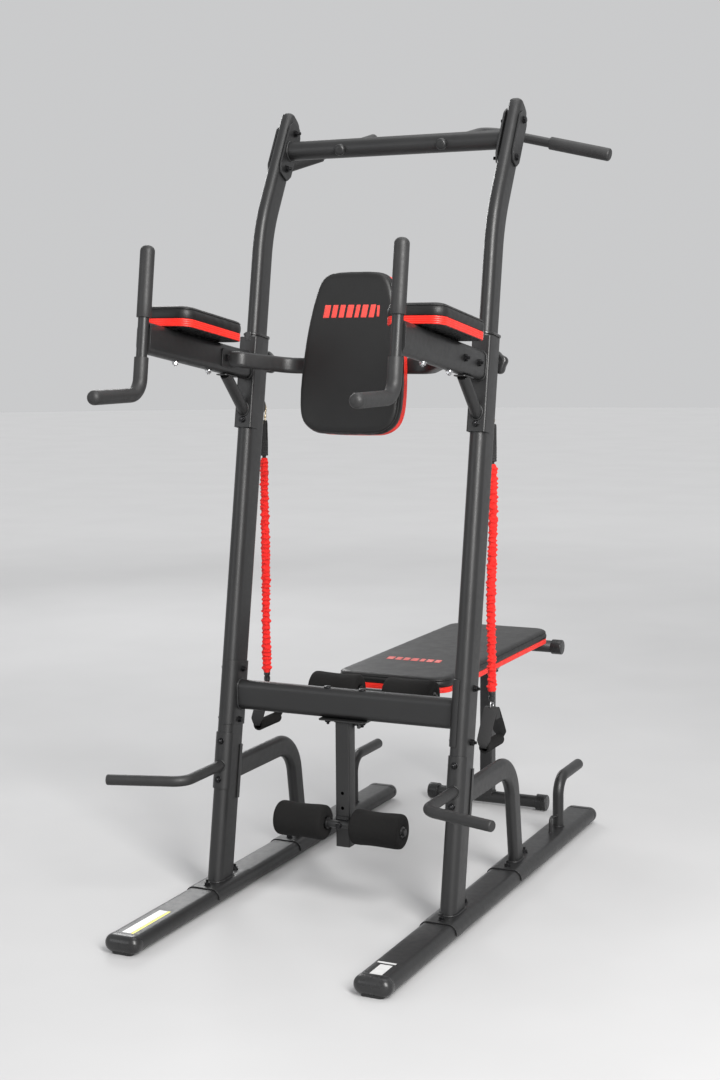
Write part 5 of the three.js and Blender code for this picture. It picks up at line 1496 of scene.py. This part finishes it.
def bench():
    zb0, zb1 = 468.7, 518.7
    pts = [(PY + 25 * math.cos(math.pi / 2 + math.pi * i / 20), PZ + 25 * math.sin(math.pi / 2 + math.pi * i / 20)) for i in range(21)]
    side = pts + [(700, zb0), (1329, zb0), (1329, zb1), (700, zb1)]
    make("bench_beam", prism(side, -25, 25, lambda a, b, h: (h, a, b)), "powder_coat", "bench", "bench_beam", "frame_steel", bevel=3.2, bseg=4, sharp=40)
    ry, rz, fy, fz = 1344.0, 499.7, 333.0, 533.0
    g = rod(38, (-186, ry, rz), (186, ry, rz), 56, 1)
    g.join(bead([(a, 1329.6 - 2.0 + 0.0 * b, 493.7 + b) for a, b in rrect(53, 50, 6, 4)], 2.4, True))
    make("bench_rear_bar", g, "powder_coat", "bench", (), "frame_steel", sharp=50)
    g = rod(20, (-186, fy, fz), (186, fy, fz), 40, 1.2)
    for k in (-1, 1):
        g.join(rod(30, (k * 34, fy, fz), (k * 38, fy, fz), 40, 0.6))
    g.join(prism(rrect(48, 32, 4, 5), zb1 - 1, fz - 3, lambda a, b, h: (a, fy + b, h)))
    make("bench_roller_axle", g, "powder_coat", "bench", (), "frame_steel", sharp=40)
    g = Geo()
    for x0, x1 in ((20.5, 25), (-25, -20.5)):
        g.join(prism(soften([(LY - 26, zb0 + 1), (LY + 26, zb0 + 1), (LY + 26, 428), (LY - 14, 428), (LY - 26, 446)], 6, 5), x0, x1, lambda a, b, h: (h, a, b)))
    g.join(prism([(-26, 428), (26, 428), (26, 441), (-26, 441)], LY + 20.6, LY + 24, lambda a, b, h: (a, h, b)))
    for y in (560, 1150):
        g.join(prism(rrect(220, 36, 5, 5), zb1 - 2.4, zb1 + 0.1, lambda a, b, h, y=y: (a, y + b, h)))
    make("bench_brackets", g, "powder_coat", "bench", (), "frame_steel", bevel=0.7)
    b = Geo()
    for y in (560, 1150):
        for x in (-92, 92):
            b.join(hexhead((x, y, zb1 - 2.3), (0, 0, -1), 12, 5, 17, 1.4, 0, 7, roll=x + y))
    make("bench_screws", b, "zinc", "bench", (), "plated_hardware", sharp=30)
    both("bench_bar_cap", ribbed_cap(ry, rz, 47, 168, 202), "plastic", "bench", "bench_bar_cap", slot="black_plastic", sharp=38)
    # leg
    po = rrect(40, 40, 4, 6)
    leg = loft([[(a, LY + b, z) for a, b in po] for z in (33, 200, LZ - 2)] + [[(a, LY + b * q, z) for a, b in po] for z, q in ((LZ + 8, 0.93), (LZ + 14, 0.74), (LZ + 18.4, 0.42), (LZ + 19.8, 0.12))])
    leg.join(rod(38, (-184, LY, 25), (184, LY, 25), 56, 1))
    leg.join(bead([(a, LY + b, 43.0 + 0.0 * a) for a, b in rrect(43, 36, 5, 4)], 2.3, True))
    make("bench_leg", leg, "powder_coat", "leg", "bench_leg", "frame_steel", bevel=0.6, sharp=40)
    both("bench_foot_cap", ribbed_cap(LY, 25, 50, 166, 200), "plastic", "leg", "bench_foot_cap", slot="black_plastic", sharp=38)
    for nm, y, z, x, body in (("bench_pivot_pin", PY, PZ, 30.0, FRAME), ("bench_leg_pin", LY, LZ, 25.0, "bench")):
        g = rod(12, (-x - 1, y, z), (x + 1, y, z), 30, 0.5)
        for k in (1, -1):
            g.join(hexhead((k * (x + 0.2), y, z), (k, 0, 0), 17, 8, 22, 1.8, 3 if k > 0 else 0, 10, roll=0.2))
        make(nm, g, "zinc", body, nm, "plated_hardware", sharp=30)


backrest_bar()
pads()
bench()
label_strip("right_label", 318, 349, -401, -331, "label")
label_strip("right_label_bar", 305, 352, -323, -314, "label")
label_strip("left_label", -350, -326, -391, -215, "label")
label_strip("left_label_stripe", -324.5, -317, -391, -215, "label_yellow")


# ------------------------------------------------------------------ stage and light
def stage():
    me = bpy.data.meshes.new("floor")
    n = 96
    v = [(30 * math.cos(2 * math.pi * i / n), 30 * math.sin(2 * math.pi * i / n), 0) for i in range(n)]
    me.from_pydata(v, [], [list(range(n))])
    me.materials.append(MATS["stage"])
    ob = bpy.data.objects.new("floor", me)
    bpy.context.scene.collection.objects.link(ob)
    w = bpy.data.worlds.new("world")
    w.use_nodes = True
    bg = w.node_tree.nodes["Background"]
    bg.inputs[0].default_value = (0.985, 0.99, 1.0, 1)
    bg.inputs[1].default_value = 0.60
    bpy.context.scene.world = w
    area("key", (3.3, -3.2, 3.7), (0, 0, 1.2), 1.5, 400, (1, 0.99, 0.975), 3.8)
    area("fill", (-2.8, -4.2, 2.4), (0, 0, 0.9), 2.2, 22, (0.97, 0.98, 1))
    area("top", (0.4, 0.8, 4.6), (0, 0.4, 0.6), 3.0, 45)
    area("rim", (-3.4, 3.8, 3.0), (0, 0.2, 1.0), 1.8, 70)


stage()
bpy.context.scene.view_settings.view_transform = "Standard"
